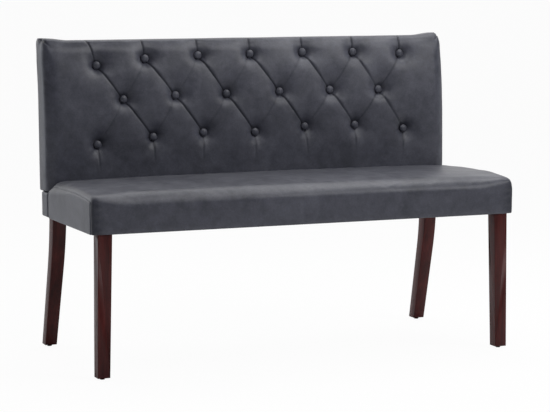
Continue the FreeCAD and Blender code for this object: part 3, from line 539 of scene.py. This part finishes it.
def griddedBox(low, high, cuts, openRear=False):
    # A cube subdivided along each direction, before it is rounded and shaped
    bm = bmesh.new()
    bmesh.ops.create_cube(bm, size=1)
    size = [h - l for l, h in zip(low, high)]
    middle = [(l + h) / 2 for l, h in zip(low, high)]
    bmesh.ops.scale(bm, vec=size, verts=bm.verts)
    bmesh.ops.translate(bm, vec=middle, verts=bm.verts)
    if openRear:
        rear = [f for f in bm.faces if f.normal.y > 0.9]
        bmesh.ops.delete(bm, geom=rear, context="FACES_ONLY")
    for axis in range(3):
        along = [e for e in bm.edges
                 if abs((e.verts[0].co - e.verts[1].co).normalized()[axis]) > 0.99]
        bmesh.ops.subdivide_edges(bm, edges=along, cuts=cuts[axis], use_grid_fill=True)
    return bm


def rounded(points, low, high, radii, power=2):
    # Points on a box move onto the same box with elliptical edges; radii may differ from point to point,
    # and a power above 2 makes the lying edges squarer
    low, high = np.array(low), np.array(high)
    inner = np.clip(points, low + radii, high - radii)
    away = (points - inner) / radii
    level = np.hypot(away[:, 0], away[:, 1])
    length = (level ** power + np.abs(away[:, 2]) ** power) ** (1 / power)
    length[length < 1e-9] = 1
    return inner + radii * away / length[:, None]


waveLook = {"count": 7, "shortest": 0.6, "longest": 1.7, "weakest": 0.4}


def waves(points, scale, seed):
    # Slow uneven hand of the padding, as a few crossing waves
    look = waveLook
    rng = np.random.default_rng(seed)
    total = np.zeros(len(points))
    for _ in range(look["count"]):
        direction = rng.normal(size=3)
        direction /= np.linalg.norm(direction)
        length = scale * rng.uniform(look["shortest"], look["longest"])
        phase = points @ direction * 2 * math.pi / length + rng.uniform(0, 6.28)
        total += np.sin(phase) * rng.uniform(look["weakest"], 1)
    return total / look["count"]


def groove(distance, width, depth):
    return depth * np.exp(-(distance / width) ** 2)


def roundedBox(low, high, cuts, radius):
    # Box on a fine grid with small round edges, and its points
    bm = griddedBox(low, high, cuts)
    points = bmPoints(bm)
    return bm, rounded(points, low, high, np.full_like(points, radius))


# Back cover: the tufted front with its sides and top

# Entries named ...Shade, and shade (its width), set the painted shade along folds and pleats and in button
# hollows
backLook = {
    "low": (-half, 0.0, 0.4472), "high": (half, 0.084, 0.8655), "cuts": (438, 17, 150), "sideRadius": 0.036,
    "faceRadius": 0.030, "topRadius": 0.040, "cornerRadius": 0.015, "rearRadius": 0.004,
    "rearTopRadius": 0.022, "pillow": 0.0030, "pocket": 0.0185, "pocketWidth": 0.0115,
    "pocketReach": 0.0120, "pocketTurn": 1.05, "hollowShade": 0.48, "lowReach": 0.010, "foldMiddle": 0.0022,
    "foldEnd": 0.0076, "foldSteep": 0.0050, "foldGentle": 0.0140, "foldBow": -0.0014, "foldShade": 0.80,
    "fadeShade": 0.45, "fadeCrease": 0.35, "softFold": 0.0014, "softShare": 0.6, "softWidth": 0.015,
    "softShade": 0.20, "softShadeGain": 0.25, "slit": 0.0030, "softSlit": 0.0016, "slitWidth": 0.0020,
    "shade": 0.0024, "pleat": 0.0016, "pleatReach": 0.055, "pleatLean": -0.018, "pleatShade": 0.75,
    "lowPleat": 0.0022, "lowPleatReach": 0.085, "lowPleatLean": 0.006, "lowPleatShade": 0.45, "dip": 0.0066,
    "seamDepth": 0.0265, "seam": 0.0010, "sideCrown": 0.0014, "mitre": 0.0032, "mitreTop": 0.866,
    "bigHand": 0.0016, "smallHand": 0.0006, "rearShares": (0.97, 0.86, 0.74, 0.62, 0.50, 0.38, 0.26, 0.14),
    "rearInset": 0.0008,
}
backFoamLook = {**backLook, "low": (0.005 - half, 0.0, 0.4500), "high": (half - 0.005, 0.084, 0.8590),
                "cuts": (239, 9, 82), "inset": 0.0070, "crowd": 0.004}

# Height and depth where each curve of the back starts, and how far it leans over which length
backCurve = {"faceY": 0.137, "faceFrom": 0.560, "faceOver": 0.283, "faceTo": 0.846, "faceLean": 0.028,
             "rearY": 0.2188, "slopeFrom": 0.447, "slopeOver": 0.253, "slopeLean": 0.0025,
             "bendFrom": 0.700, "bendOver": 0.143, "bendLean": 0.0172,
             "boardHeights": (0.378, 0.550, 0.800, 0.843), "boardDepths": (0.1505, 0.1608, 0.1803, 0.1838)}


def faceY(z):
    curve = backCurve
    rise = np.clip((np.minimum(z, curve["faceTo"]) - curve["faceFrom"]) / curve["faceOver"], 0, None)
    return curve["faceY"] + curve["faceLean"] * rise ** 2.5


def rearY(z):
    curve = backCurve
    slope = curve["slopeLean"] * np.clip((z - curve["slopeFrom"]) / curve["slopeOver"], 0, 1)
    bend = curve["bendLean"] * np.clip((z - curve["bendFrom"]) / curve["bendOver"], 0, 1.1) ** 1.5
    return curve["rearY"] + slope + bend


def foldField(x, z, start, end, look, soft):
    # Valley and crease of one fold between two buttons, and the painted shade along it; it bows up and its
    # upper pillow laps over
    ax, az = start[0], start[2]
    bx, bz = end[0], end[2]
    length = math.hypot(bx - ax, bz - az)
    dx, dz = (bx - ax) / length, (bz - az) / length
    nx, nz = (-dz, dx) if dx > 0 else (dz, -dx)
    along = ((x - ax) * dx + (z - az) * dz) / length
    t = np.clip(along, 0, 1)
    bow = look["foldBow"] * 4 * t * (1 - t) * (0.5 if soft else 1)
    aside = (x - ax) * nx + (z - az) * nz - bow
    beyond = np.maximum(np.abs(along - 0.5) - 0.5, 0) * length
    ends = (2 * t - 1) ** 2
    away = np.sqrt(aside ** 2 + beyond ** 2)
    if soft:
        middle = look["softFold"]
        depth = middle + (look["foldEnd"] * look["softShare"] - middle) * ends ** 2
        width = look["softWidth"]
        crease = look["softSlit"] * (0.30 + 0.70 * ends)
        # Painted shade along the soft fold, darker at its ends and towards the right
        shade = look["softShade"] + look["softShade"] * ends + look["softShadeGain"] * smoothStep(x, 0.05, 0.45)
    else:
        middle = look["foldMiddle"]
        depth = middle + (look["foldEnd"] - middle) * ends ** 2
        width = np.where(aside > 0, look["foldSteep"], look["foldGentle"])
        crease = look["slit"] * (0.65 + 0.35 * ends)
        # Painted shade along the steep fold, lighter towards the right, where its slit is also shallower
        towardsRight = smoothStep(x, 0.05, 0.50)
        shade = look["foldShade"] - look["fadeShade"] * towardsRight
        crease = crease * (1 - look["fadeCrease"] * towardsRight)
    valley = depth * np.exp(-(away / width) ** 1.35)
    return valley, groove(away, look["slitWidth"], crease), groove(away, look["shade"], shade)


def pleatField(x, z, button, look, upwards, order):
    # Straight pleat from a button over the top edge, or down towards the seat where it fades, with a painted
    # shade line along it
    reach = look["pleatReach"] if upwards else look["lowPleatReach"]
    if upwards:
        lean = look["pleatLean"] * math.exp(-order * 1.1)
    else:
        lean = look["lowPleatLean"] * math.sin(order * 1.7 + 1)
    way = (z - button[2]) * (1 if upwards else -1)
    share = np.clip(way / reach, 0, 1.6)
    aside = x - button[0] - lean * share
    away = np.sqrt(aside ** 2 + np.maximum(-way, 0) ** 2)
    slit = groove(away, look["slitWidth"], 1)
    shadeLine = groove(away, look["shade"], 1)
    if upwards:
        depth = look["pleat"] * (1.5 - 0.75 * np.clip(share, 0, 1))
        valley = depth * np.exp(-(away / np.where(aside > 0, 0.016, 0.010)) ** 1.4)
        return valley, look["slit"] * 0.8 * slit, shadeLine * look["pleatShade"]
    fade = 1 - smoothStep(share, 0.35, 1)
    valley = fade * look["lowPleat"] * np.exp(-(away / 0.014) ** 1.5)
    return valley, fade * look["slit"] * 0.6 * slit, fade * shadeLine * look["lowPleatShade"]


def tuftDepth(x, z, look):
    # How far the cover is drawn in at each place of the front, from buttons, folds and pleats together, and
    # the painted shade of creases and button hollows
    fields = []
    for k in range(6):
        fields.append(foldField(x, z, topRow[k], middleRow[k], look, False))
        fields.append(foldField(x, z, topRow[k + 1], middleRow[k], look, True))
        fields.append(foldField(x, z, middleRow[k], bottomRow[k + 1], look, False))
        fields.append(foldField(x, z, middleRow[k], bottomRow[k], look, True))
    fields += [pleatField(x, z, button, look, True, order) for order, button in enumerate(topRow)]
    fields += [pleatField(x, z, button, look, False, order) for order, button in enumerate(bottomRow)]
    valleys = [field[0] for field in fields]
    creases = np.max([field[1] for field in fields], axis=0)
    shade = np.max([field[2] for field in fields], axis=0)
    for order, (bx, _, bz) in enumerate(topRow + middleRow + bottomRow):
        right, up = x - bx, z - bz
        away = np.hypot(right, up)
        turn = np.arctan2(up, right)
        lobe = np.clip(0.25 + 0.75 * np.cos(turn - look["pocketTurn"]), 0, 1)
        width = look["pocketWidth"] + look["pocketReach"] * lobe * np.clip(away / 0.03, 0, 1)
        if order >= len(topRow + middleRow):
            width += look["lowReach"] * np.clip(np.cos(turn + 0.9), 0, 1)
        valleys.append(look["pocket"] * np.exp(-np.clip((away - 0.0105) / width, 0, None) ** 1.08))
        # Painted shade in the hollow on the upper right of each button
        shade = np.maximum(shade, look["hollowShade"] * lobe * np.exp(-(away / 0.027) ** 2))
    power = 3
    drawn = sum(valley ** power for valley in valleys) ** (1 / power)
    return drawn + creases, shade


def boardY(z):
    return np.interp(z, backCurve["boardHeights"], backCurve["boardDepths"])


def tuftedForm(look):
    # Rounded block drawn in by its tufts; the foam uses the same form a little further in
    low, high, inset = look["low"], look["high"], look.get("inset", 0)
    bm = griddedBox(low, high, look["cuts"], openRear=inset == 0)
    points = bmPoints(bm)
    radii = np.empty_like(points)
    nearTop = smoothStep(points[:, 2], 0.790, 0.850)
    radii[:, 0] = look["sideRadius"] + (look["cornerRadius"] - look["sideRadius"]) * nearTop
    radii[:, 1] = look["faceRadius"]
    behind = points[:, 1] > high[1] / 2
    radii[behind, 0] = look["rearRadius"]
    radii[behind, 1] = (look["rearRadius"] + (look["rearTopRadius"] - look["rearRadius"]) * nearTop)[behind]
    topRadii = np.where(behind, look["rearTopRadius"], look["topRadius"])
    radii[:, 2] = np.where(points[:, 2] > 0.65, topRadii, look["rearRadius"])
    points = rounded(points, low, high, radii)
    across, depth, height = points[:, 0].copy(), points[:, 1].copy(), points[:, 2].copy()

    # The top dips a little between its raised corners
    dip = look["dip"] * (1 - smoothStep(half - np.abs(across), 0.080, 0.014))
    height -= dip * smoothStep(height, 0.80, 0.8655)
    share = depth / high[1]
    front = faceY(height) + inset
    y = front + (rearY(height) - front) * share
    if inset:
        # The foam stops at the board, where its rows crowd up
        past = np.maximum(y - boardY(height) + look["crowd"], 0)
        y -= past ** 2 / (look["crowd"] + past)
    points = np.stack((across, y, height), axis=1)
    setBmPoints(bm, points)

    normals = bmNormals(bm)
    frontness = np.clip(-normals[:, 1], 0, 1)
    upness = np.clip(normals[:, 2], 0, 1)
    x, z = points[:, 0], points[:, 2]
    overTop = np.clip(y - faceY(0.84) - 0.006, 0, None)
    reach = z + overTop * smoothStep(z, 0.80, 0.86)
    drawn, shade = tuftDepth(x, reach, look)
    sideFade = smoothStep(half - np.abs(x), 0.008, 0.045)
    rearFade = 1 - smoothStep(share, 0.18, 0.52)
    facing = np.clip(frontness + upness, 0, 1)
    inside = drawn * facing * rearFade * (0.35 + 0.65 * sideFade)
    swell = look["pillow"] * smoothStep(z, 0.50, 0.60) * sideFade * rearFade
    swell *= np.clip(frontness + 0.4 * upness, 0, 1)
    hand = waves(points, 0.11, 5) * look["bigHand"] + waves(points, 0.045, 9) * look["smallHand"]
    hand *= (0.35 + 0.65 * facing) * (0.4 + 0.6 * rearFade)

    # Side seam behind the rounded corner, and the pinched fold at each top corner
    sideness = smoothStep(np.abs(normals[:, 0]), 0.55, 0.85)
    seam = groove(depth - look["seamDepth"], 0.0020, look["seam"]) * sideness
    sideCrown = look["sideCrown"] * sideness * np.sin(np.pi * np.clip(share, 0, 1))
    sideCrown *= smoothStep(z, 0.447, 0.50)
    fromEdge, fromTop = half - np.abs(x), look["mitreTop"] - z
    along = (fromEdge + fromTop) / 2
    pinch = groove((fromEdge - fromTop) / math.sqrt(2), 0.0022, look["mitre"])
    pinch *= smoothStep(along, -0.002, 0.004) * (1 - smoothStep(along, 0.014, 0.024)) * (share < 0.6)
    move = -inside - seam - pinch + swell + hand + sideCrown
    points += normals * move[:, None]
    setBmPoints(bm, points)
    # Painted shade of creases, pleats and button hollows, kept on the points for the cover's material
    shadeLayer = bm.verts.layers.float.new("paintedShade")
    for v, value in zip(bm.verts, shade * facing * rearFade * sideFade):
        v[shadeLayer] = value
    return bm


def buildBackCover():
    look = backLook
    bm = tuftedForm(look)
    # Hem: the rear edge turns in over the frame, in rows that follow the curve of the back
    middle = (look["low"][2] + look["high"][2]) / 2
    last = 1
    for share in look["rearShares"]:
        turned = bmesh.ops.extrude_edge_only(bm, edges=[e for e in bm.edges if e.is_boundary])
        for v in [g for g in turned["geom"] if isinstance(g, bmesh.types.BMVert)]:
            v.co.x *= share / last
            v.co.z = middle + (v.co.z - middle) * share / last
            v.co.y = float(rearY(v.co.z)) - look["rearInset"]
        last = share
    bmesh.ops.holes_fill(bm, edges=[e for e in bm.edges if e.is_boundary], sides=0)
    bmesh.ops.recalc_face_normals(bm, faces=bm.faces)
    cover = newPiece("backFrontCover", bm, hide)
    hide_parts("back_front_cover")

    filling = newPiece("backFoam", tuftedForm(backFoamLook), foam)
    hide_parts("back_foam")


buildBackCover()
print("back cover tufted")


# Rear panel and lower block of the back

panelLook = {
    "rear": {"low": (0.012 - half, 0.0, 0.4485), "high": (half - 0.012, 0.006, 0.842), "cuts": (200, 2, 66),
             "radius": 0.0030, "crown": 0.0030, "middle": 0.645, "reach": 0.197, "hand": 0.0007,
             "stitch": 0.0016, "stitchFrom": 0.0085, "stitchWidth": 0.0030, "behind": 0.0048},
    "padding": {"low": (0.016 - half, 0.0, 0.4505), "high": (half - 0.016, 0.0038, 0.836),
                "cuts": (60, 1, 40), "radius": 0.0018, "behind": 0.0054},
    "lower": {"low": (-half, 0.1415, 0.3770), "high": (half, 0.202, 0.4468), "cuts": (170, 9, 14),
              "radius": 0.0062, "crown": 0.0008, "hand": 0.0007},
}


def buildRearCover():
    look = panelLook["rear"]
    low, high = look["low"], look["high"]
    bm, points = roundedBox(low, high, look["cuts"], look["radius"])
    x, z = points[:, 0], points[:, 2]
    crown = look["crown"] * np.clip(1 - (x / high[0]) ** 8, 0, 1)
    crown *= np.clip(1 - ((z - look["middle"]) / look["reach"]) ** 6, 0, 1)
    atRear = points[:, 1] > high[1] / 2
    points[:, 1] += np.where(atRear, crown + waves(points, 0.20, 3) * look["hand"], 0)
    edge = np.minimum(high[0] - np.abs(x), np.minimum(high[2] - z, z - low[2]))
    stitch = groove(edge - look["stitchFrom"], look["stitchWidth"], look["stitch"])
    points[:, 1] -= np.where(atRear, stitch, 0)
    points[:, 1] += rearY(z) - look["behind"]
    setBmPoints(bm, points)
    panel = newPiece("backRearCover", bm, hide)
    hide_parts("back_rear_cover")


def buildRearPadding():
    # Thin layer between the rear board and the cover
    look = panelLook["padding"]
    bm, points = roundedBox(look["low"], look["high"], look["cuts"], look["radius"])
    points[:, 1] += rearY(points[:, 2]) - look["behind"]
    setBmPoints(bm, points)
    layer = newPiece("rearPadding", bm, wadding)
    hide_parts("rear_padding")


def buildLowerCover():
    look = panelLook["lower"]
    bm, points = roundedBox(look["low"], look["high"], look["cuts"], look["radius"])
    setBmPoints(bm, points)
    normals = bmNormals(bm)
    hand = look["crown"] * normals[:, 1].clip(0, 1) + waves(points, 0.12, 4) * look["hand"]
    points += normals * hand[:, None]
    setBmPoints(bm, points)
    cover = newPiece("backLowerCover", bm, hide)
    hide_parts("back_lower_cover")


buildRearCover()
buildRearPadding()
buildLowerCover()
print("rear panels made")


# Seat: one crowned cover and a boxing panel let into each end

seatLook = {
    "low": (0.0005 - half, -0.2808, 0.3769), "high": (half - 0.0005, 0.1405, 0.4895), "cuts": (149, 52, 13),
    "topRadius": 0.036, "frontRadius": 0.046, "rearRadius": 0.058, "sideRadius": 0.032, "tightTop": 0.019,
    "tightFront": 0.022, "tightSide": 0.017, "cornerRadius": 0.0130, "cornerShade": 0.48,
    "cornerShadeReach": 0.026, "bottomPower": 9, "panelLow": (-0.2680, 0.3775), "panelHigh": (0.1312, 0.4765),
    "panelDepth": 0.0012, "panelOut": 0.0004, "panelWall": 0.0060, "panelGap": 0.0006,
    "panelRadius": 0.0018, "panelCrown": 0.0012, "panelHand": 0.0005, "wave": 0.0014, "front": -0.281,
    "cornerFold": 0.0011, "pucker": 0.0007, "puckers": 310,
    "filling": {"frames": 20, "hold": 0.2, "cap": 0.0040, "inwards": 0.0003},
    "fabric": {"quality": 6, "mass": 0.4, "use_pressure": True, "uniform_pressure_force": 2.0,
               "tension_stiffness": 60.0, "compression_stiffness": 60.0, "shrink_min": -0.002},
}

# Highest line of the seat's top, and how far it falls over which distance
seatFall = {"crest": -0.112, "ahead": 0.0075, "aheadOver": 0.149, "behind": 0.0028, "behindOver": 0.187,
            "ends": 0.0050}


def seatCrown(x, y):
    # Fall of the top towards the front, the back and the ends
    fall = seatFall
    ahead = np.clip(fall["crest"] - y, 0, None) / fall["aheadOver"]
    behind = np.clip(y - fall["crest"], 0, None) / fall["behindOver"]
    ends = (np.abs(x) / half) ** 2.5
    return -fall["ahead"] * ahead ** 2 - fall["behind"] * behind ** 2 - fall["ends"] * ends


def seatRadii(x, y, look):
    # Roundings of the top: full along the front and at the back, tighter at the front corners
    corner = (1 - smoothStep(half - np.abs(x), 0.02, 0.12)) * (1 - smoothStep(y, -0.14, 0.08))
    side = look["sideRadius"] + (look["tightSide"] - look["sideRadius"]) * corner
    front = look["frontRadius"] + (look["tightFront"] - look["frontRadius"]) * corner
    top = look["topRadius"] + (look["tightTop"] - look["topRadius"]) * corner
    return side, np.where(y < 0, front, look["rearRadius"]), top


def seatForm(look):
    low, high = look["low"], look["high"]
    bm = griddedBox(low, high, look["cuts"])
    points = bmPoints(bm)
    x, y, z = points.T
    side, depth, top = seatRadii(x, y, look)
    lowPart = 1 - smoothStep(z, 0.452, 0.478)
    lowCorner = np.where(y < 0, look["cornerRadius"], 0.006)
    side += (lowCorner - side) * lowPart
    depth += (lowCorner - depth) * lowPart
    radii = np.stack((side, depth, np.where(z > 0.44, top, 0.003)), axis=1)
    points = rounded(points, low, high, radii, np.where(z < 0.42, look["bottomPower"], 2))
    x, y, z = points.T
    points[:, 2] += seatCrown(x, y) * smoothStep(z, 0.40, 0.487)
    setBmPoints(bm, points)
    return bm


def rollDown(y, look):
    # Fall of the ends' top where it rolls over to the front and down at the back
    _, depth, top = seatRadii(half, y, look)
    ahead, behind = look["low"][1] + depth - y, y - look["high"][1] + depth
    rolled = np.maximum(ahead * (y < 0), behind * (y > 0)) / depth
    return top * (1 - np.sqrt(1 - np.clip(rolled, 0, 0.98) ** 2))


def endTop(y, look):
    # Upper edge of the end panels, on the rounding of the top
    return look["panelHigh"][1] + seatCrown(half, y) - rollDown(y, look)


def inflate(piece, pinned, settings, fabric):
    # The filling pushes the cover out between its pinned edges; foam holds it softly, its reach is capped
    group = piece.vertex_groups.new(name="pinned")
    group.add(list(range(len(piece.data.vertices))), settings["hold"], "REPLACE")
    group.add([int(index) for index in pinned], 1.0, "REPLACE")
    cloth = piece.modifiers.new("filling", "CLOTH")
    for key, value in fabric.items():
        setattr(cloth.settings, key, value)
    cloth.settings.vertex_group_mass = "pinned"
    cloth.settings.effector_weights.gravity = 0
    cloth.point_cache.frame_start = 1
    cloth.point_cache.frame_end = settings["frames"]
    before, normals = meshPoints(piece.data), meshNormals(piece.data)
    for frameNumber in range(1, settings["frames"] + 1):
        scene.frame_set(frameNumber)
    applyModifiers(piece)
    move = meshPoints(piece.data) - before
    outwards = np.sum(move * normals, axis=1)
    move += normals * (np.maximum(outwards, -settings["inwards"]) - outwards)[:, None]
    reach = np.linalg.norm(move, axis=1)
    share = settings["cap"] * np.tanh(reach / settings["cap"]) / np.maximum(reach, 1e-9)
    setMeshPoints(piece.data, before + move * share[:, None])
    piece.vertex_groups.clear()
    scene.frame_set(1)


def refine(piece):
    smooth = piece.modifiers.new("refine", "SUBSURF")
    smooth.levels = smooth.render_levels = 1
    applyModifiers(piece)


def shapeSeat(piece, look):
    # Uneven hand of the padding, then the end seams and the gathered front corners, and painted shade down
    # the front corners
    points, normals = meshPoints(piece.data), meshNormals(piece.data)
    x, y, z = points.T
    top = np.clip(normals[:, 2], 0, 1)
    hand = waves(points, 0.16, 11) * look["wave"] + waves(points, 0.055, 12) * (0.0004 + 0.0005 * top)
    hand *= 1 - np.clip(-normals[:, 2], 0, 1)
    endness = smoothStep(np.abs(normals[:, 0]), 0.6, 0.9)
    y0, y1 = look["panelLow"][0], look["panelHigh"][0]
    within = smoothStep(np.minimum(np.minimum(y - y0, y1 - y), endTop(y, look) - z), -0.001, 0.003)
    fromEnd, fromFront = half - np.abs(x), y - look["front"]
    atFront = smoothStep(fromFront, 0.012, 0.002)
    cornerFold = groove(fromEnd - 0.012, 0.0026, look["cornerFold"]) * atFront
    cornerFold *= 1 - smoothStep(z, 0.455, 0.475)
    puckers = groove(fromEnd - 0.020, 0.010, look["pucker"] * np.sin(z * look["puckers"] + 1)) * atFront
    move = hand - look["panelDepth"] * endness * within - cornerFold + puckers
    setMeshPoints(piece.data, points + normals * move[:, None])
    # Painted shade down the front corners, where the cover turns away from the lamps; the material darkens
    # it
    shade = groove(fromEnd + fromFront, look["cornerShadeReach"], look["cornerShade"])
    shade *= 1 - smoothStep(z, 0.450, 0.480)
    paintedShade = piece.data.attributes.new("paintedShade", "FLOAT", "POINT")
    paintedShade.data.foreach_set("value", shade.astype(np.float32))


def buildSeat():
    look = seatLook
    cover = newPiece("seatCover", seatForm(look), hide)
    points = meshPoints(cover.data)
    pinned = np.where((points[:, 2] < 0.379) | (points[:, 1] > 0.139))[0]
    inflate(cover, pinned, look["filling"], look["fabric"])
    refine(cover)
    shapeSeat(cover, look)
    cover.data.shade_smooth()
    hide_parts("seat_cover")
    for side, sign in (("left", -1), ("right", 1)):
        buildSidePanel(side, sign)


def buildSidePanel(side, sign):
    # Thin padded panel that follows the end of the seat up to the rounding of its top
    look = seatLook
    (y0, z0), (y1, z1) = look["panelLow"], look["panelHigh"]
    gap = look["panelGap"]
    edges = sorted((sign * (half - look["panelWall"]), sign * (half + look["panelOut"])))
    low, high = (edges[0], y0 + gap, z0), (edges[1], y1 - gap, z1)
    bm, points = roundedBox(low, high, (3, 100, 24), look["panelRadius"])
    outer = (points[:, 0] * sign > half - look["panelWall"] / 2).astype(float)
    y, z = points[:, 1], points[:, 2]
    crown = look["panelCrown"] * np.sin(np.pi * (y - y0) / (y1 - y0)).clip(0, 1) ** 0.3
    crown *= np.sin(np.pi * (z - z0) / (z1 - z0)).clip(0, 1) ** 0.5
    points[:, 0] += sign * outer * (crown + waves(points, 0.07, 21) * look["panelHand"])
    points[:, 2] = z0 + (z - z0) * (endTop(y, look) - gap - z0) / (z1 - z0)
    endSide, _, endRound = seatRadii(half, y, look)
    level = points[:, 2] - seatCrown(half, y) + rollDown(y, look) - look["high"][2] + endRound
    points[:, 0] -= sign * endSide * (1 - np.sqrt(1 - np.clip(level / endRound, 0, 1) ** 2))
    setBmPoints(bm, points)
    bmesh.ops.recalc_face_normals(bm, faces=bm.faces)
    panel = newPiece(f"seatSidePanel_{side}", bm, hide)
    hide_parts(f"seat_side_panel_{side}")


waddingLook = {**seatLook, "low": (0.0035 - half, -0.2778, 0.3785), "high": (half - 0.0035, 0.1385, 0.4870),
               "wall": 0.0008}
seatFoamLook = {**seatLook, "low": (0.0055 - half, -0.2755, 0.4484), "high": (half - 0.0055, 0.1355, 0.4850)}


def buildWadding():
    # One layer over the foam and down the frame, open below
    bm = seatForm(waddingLook)
    bmesh.ops.delete(bm, geom=[f for f in bm.faces if f.normal.z < -0.9], context="FACES")
    layer = newPiece("seatWadding", bm, wadding)
    wall = layer.modifiers.new("wall", "SOLIDIFY")
    wall.thickness = waddingLook["wall"]
    wall.offset = -1
    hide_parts("seat_wadding")

    core = newPiece("seatFoam", seatForm(seatFoamLook), foam)
    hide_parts("seat_foam")


buildSeat()
buildWadding()
print("seat covered")


# Dust cloth stapled under the seat frame, cut out round the front legs

clothLook = {"flat": (2 * half - 0.024, 0.398), "middle": -0.070, "height": 0.3764, "sag": 0.0022,
             "sagReach": 0.165, "legInner": half - 0.0575, "legRear": -0.2325, "cuts": (118, 40),
             "thickness": 0.0005}


def buildDustCloth():
    look = clothLook
    width, depth = look["flat"]
    bm = bmesh.new()
    bmesh.ops.create_grid(bm, x_segments=look["cuts"][0], y_segments=look["cuts"][1], size=0.5)
    bmesh.ops.scale(bm, vec=(width, depth, 1), verts=bm.verts)
    bmesh.ops.translate(bm, vec=(0, look["middle"], look["height"]), verts=bm.verts)
    for place, direction in (((-look["legInner"], 0, 0), (1, 0, 0)), ((look["legInner"], 0, 0), (1, 0, 0)),
                             ((0, look["legRear"], 0), (0, 1, 0))):
        bmesh.ops.bisect_plane(bm, geom=bm.verts[:] + bm.edges[:] + bm.faces[:], plane_co=place,
                               plane_no=direction)
    centres = [(f, f.calc_center_median()) for f in bm.faces]
    cutOut = [f for f, centre in centres if abs(centre.x) > look["legInner"] and centre.y < look["legRear"]]
    bmesh.ops.delete(bm, geom=cutOut, context="FACES")
    for v in bm.verts:
        inX = max(0, 1 - (abs(v.co.x) / look["legInner"]) ** 4)
        inY = max(0, 1 - (abs(v.co.y - look["middle"]) / look["sagReach"]) ** 4)
        v.co.z -= look["sag"] * inX * inY
    bmesh.ops.reverse_faces(bm, faces=bm.faces)
    cloth = newPiece("dustCover", bm, dustCloth)
    thicken = cloth.modifiers.new("thickness", "SOLIDIFY")
    thicken.thickness = look["thickness"]
    thicken.offset = 0
    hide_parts("seat_dust_cover")


buildDustCloth()
print("dust cloth stapled")


# Studio: floor, soft lamps and the camera

white = (1.0, 1.0, 1.0)
studio = {
    "worldFront": 0.12, "worldBack": 1.05, "aim": (0, 0, 0.55), "floorSize": 400, "floorWhite": 0.95,
    "floor": {"Base Color": (0.90, 0.90, 0.90), "Roughness": 0.9, "Specular IOR Level": 0.1},
    "lamps": (
        ("leftPanel", (-2.8, 2.2, 1.0), 14, (2.0, 1.6), (0.86, 0.91, 1.0)),
        ("rightKey", (2.3, -2.7, 2.7), 60, (2.4, 1.8), white),
        ("overhead", (0.4, 0.9, 2.7), 20, (2.6, 1.2), white),
        ("frontHigh", (0.4, -0.5, 1.9), 13, (2.4, 0.5), white),
    ),
}


def addLamp(name, place, power, size, colour):
    lamp = bpy.data.lights.new(name, "AREA")
    lamp.shape = "RECTANGLE"
    lamp.size, lamp.size_y = size
    lamp.energy = power
    lamp.color = colour
    holder = newObject(name, lamp)
    holder.location = place
    towards = Vector(studio["aim"]) - Vector(place)
    holder.rotation_euler = towards.to_track_quat("-Z", "Y").to_euler()


def mixShaders(tree, amount, first, second, output):
    mix = tree.nodes.new("ShaderNodeMixShader")
    for socket, source in zip(mix.inputs, (amount, first.outputs[0], second.outputs[0])):
        tree.links.new(source, socket)
    tree.links.new(mix.outputs[0], output.inputs["Surface"])


def buildFloor():
    bm = bmesh.new()
    bmesh.ops.create_grid(bm, x_segments=1, y_segments=1, size=studio["floorSize"])
    mesh = bpy.data.meshes.new("floor")
    bm.to_mesh(mesh)
    bm.free()
    floor = newObject("floor", mesh)
    material, tree, shader, _ = startMaterial("paleFloor")
    feedAll(tree, shader, studio["floor"])
    # For the camera the floor is close to white and keeps a faint shadow
    pale = addNode(tree, "Emission", {"Color": white})
    path = tree.nodes.new("ShaderNodeLightPath")
    amount = maths(tree, "MULTIPLY", path.outputs["Is Camera Ray"], studio["floorWhite"])
    mixShaders(tree, amount, shader, pale, tree.nodes["Material Output"])
    mesh.materials.append(material)


def buildWorld():
    # Bright surroundings behind and beside the bench, dimmer in front; plain white to the camera
    world = bpy.data.worlds.new("studio")
    world.use_nodes = True
    scene.world = world
    tree = world.node_tree
    coords = tree.nodes.new("ShaderNodeTexCoord")
    axes = addNode(tree, "SeparateXYZ", {0: coords.outputs["Generated"]})
    level = rangeOf(tree, axes.outputs["Y"], studio["worldFront"], studio["worldBack"], -0.15, 0.8)
    light = tree.nodes["Background"]
    feedAll(tree, light, {"Color": white, "Strength": level})
    seen = addNode(tree, "Background", {"Color": white, "Strength": 1.0})
    path = tree.nodes.new("ShaderNodeLightPath")
    mixShaders(tree, path.outputs["Is Camera Ray"], light, seen, tree.nodes["World Output"])


cameraFit = {"place": (-2.0174, -5.0508, 1.0095), "yaw": 0.381271, "pitch": -0.112177, "roll": -0.0047465,
             "lens": 128.82, "sensor": 36}


def placeCamera():
    fit = cameraFit
    yaw, pitch, roll = fit["yaw"], fit["pitch"], fit["roll"]
    ahead = Vector((math.sin(yaw) * math.cos(pitch), math.cos(yaw) * math.cos(pitch), math.sin(pitch)))
    right = Vector((math.cos(yaw), -math.sin(yaw), 0))
    up = right.cross(ahead)
    tiltedRight = right * math.cos(roll) + up * math.sin(roll)
    tiltedUp = up * math.cos(roll) - right * math.sin(roll)
    lens = bpy.data.cameras.new("photoCamera")
    lens.lens = fit["lens"]
    lens.sensor_width = fit["sensor"]
    camera = newObject("photoCamera", lens)
    turn = Matrix((tiltedRight, tiltedUp, -ahead)).transposed()
    camera.matrix_world = Matrix.Translation(fit["place"]) @ turn.to_4x4()
    scene.camera = camera


buildFloor()
buildWorld()
for lampSettings in studio["lamps"]:
    addLamp(*lampSettings)
placeCamera()
print("studio set")
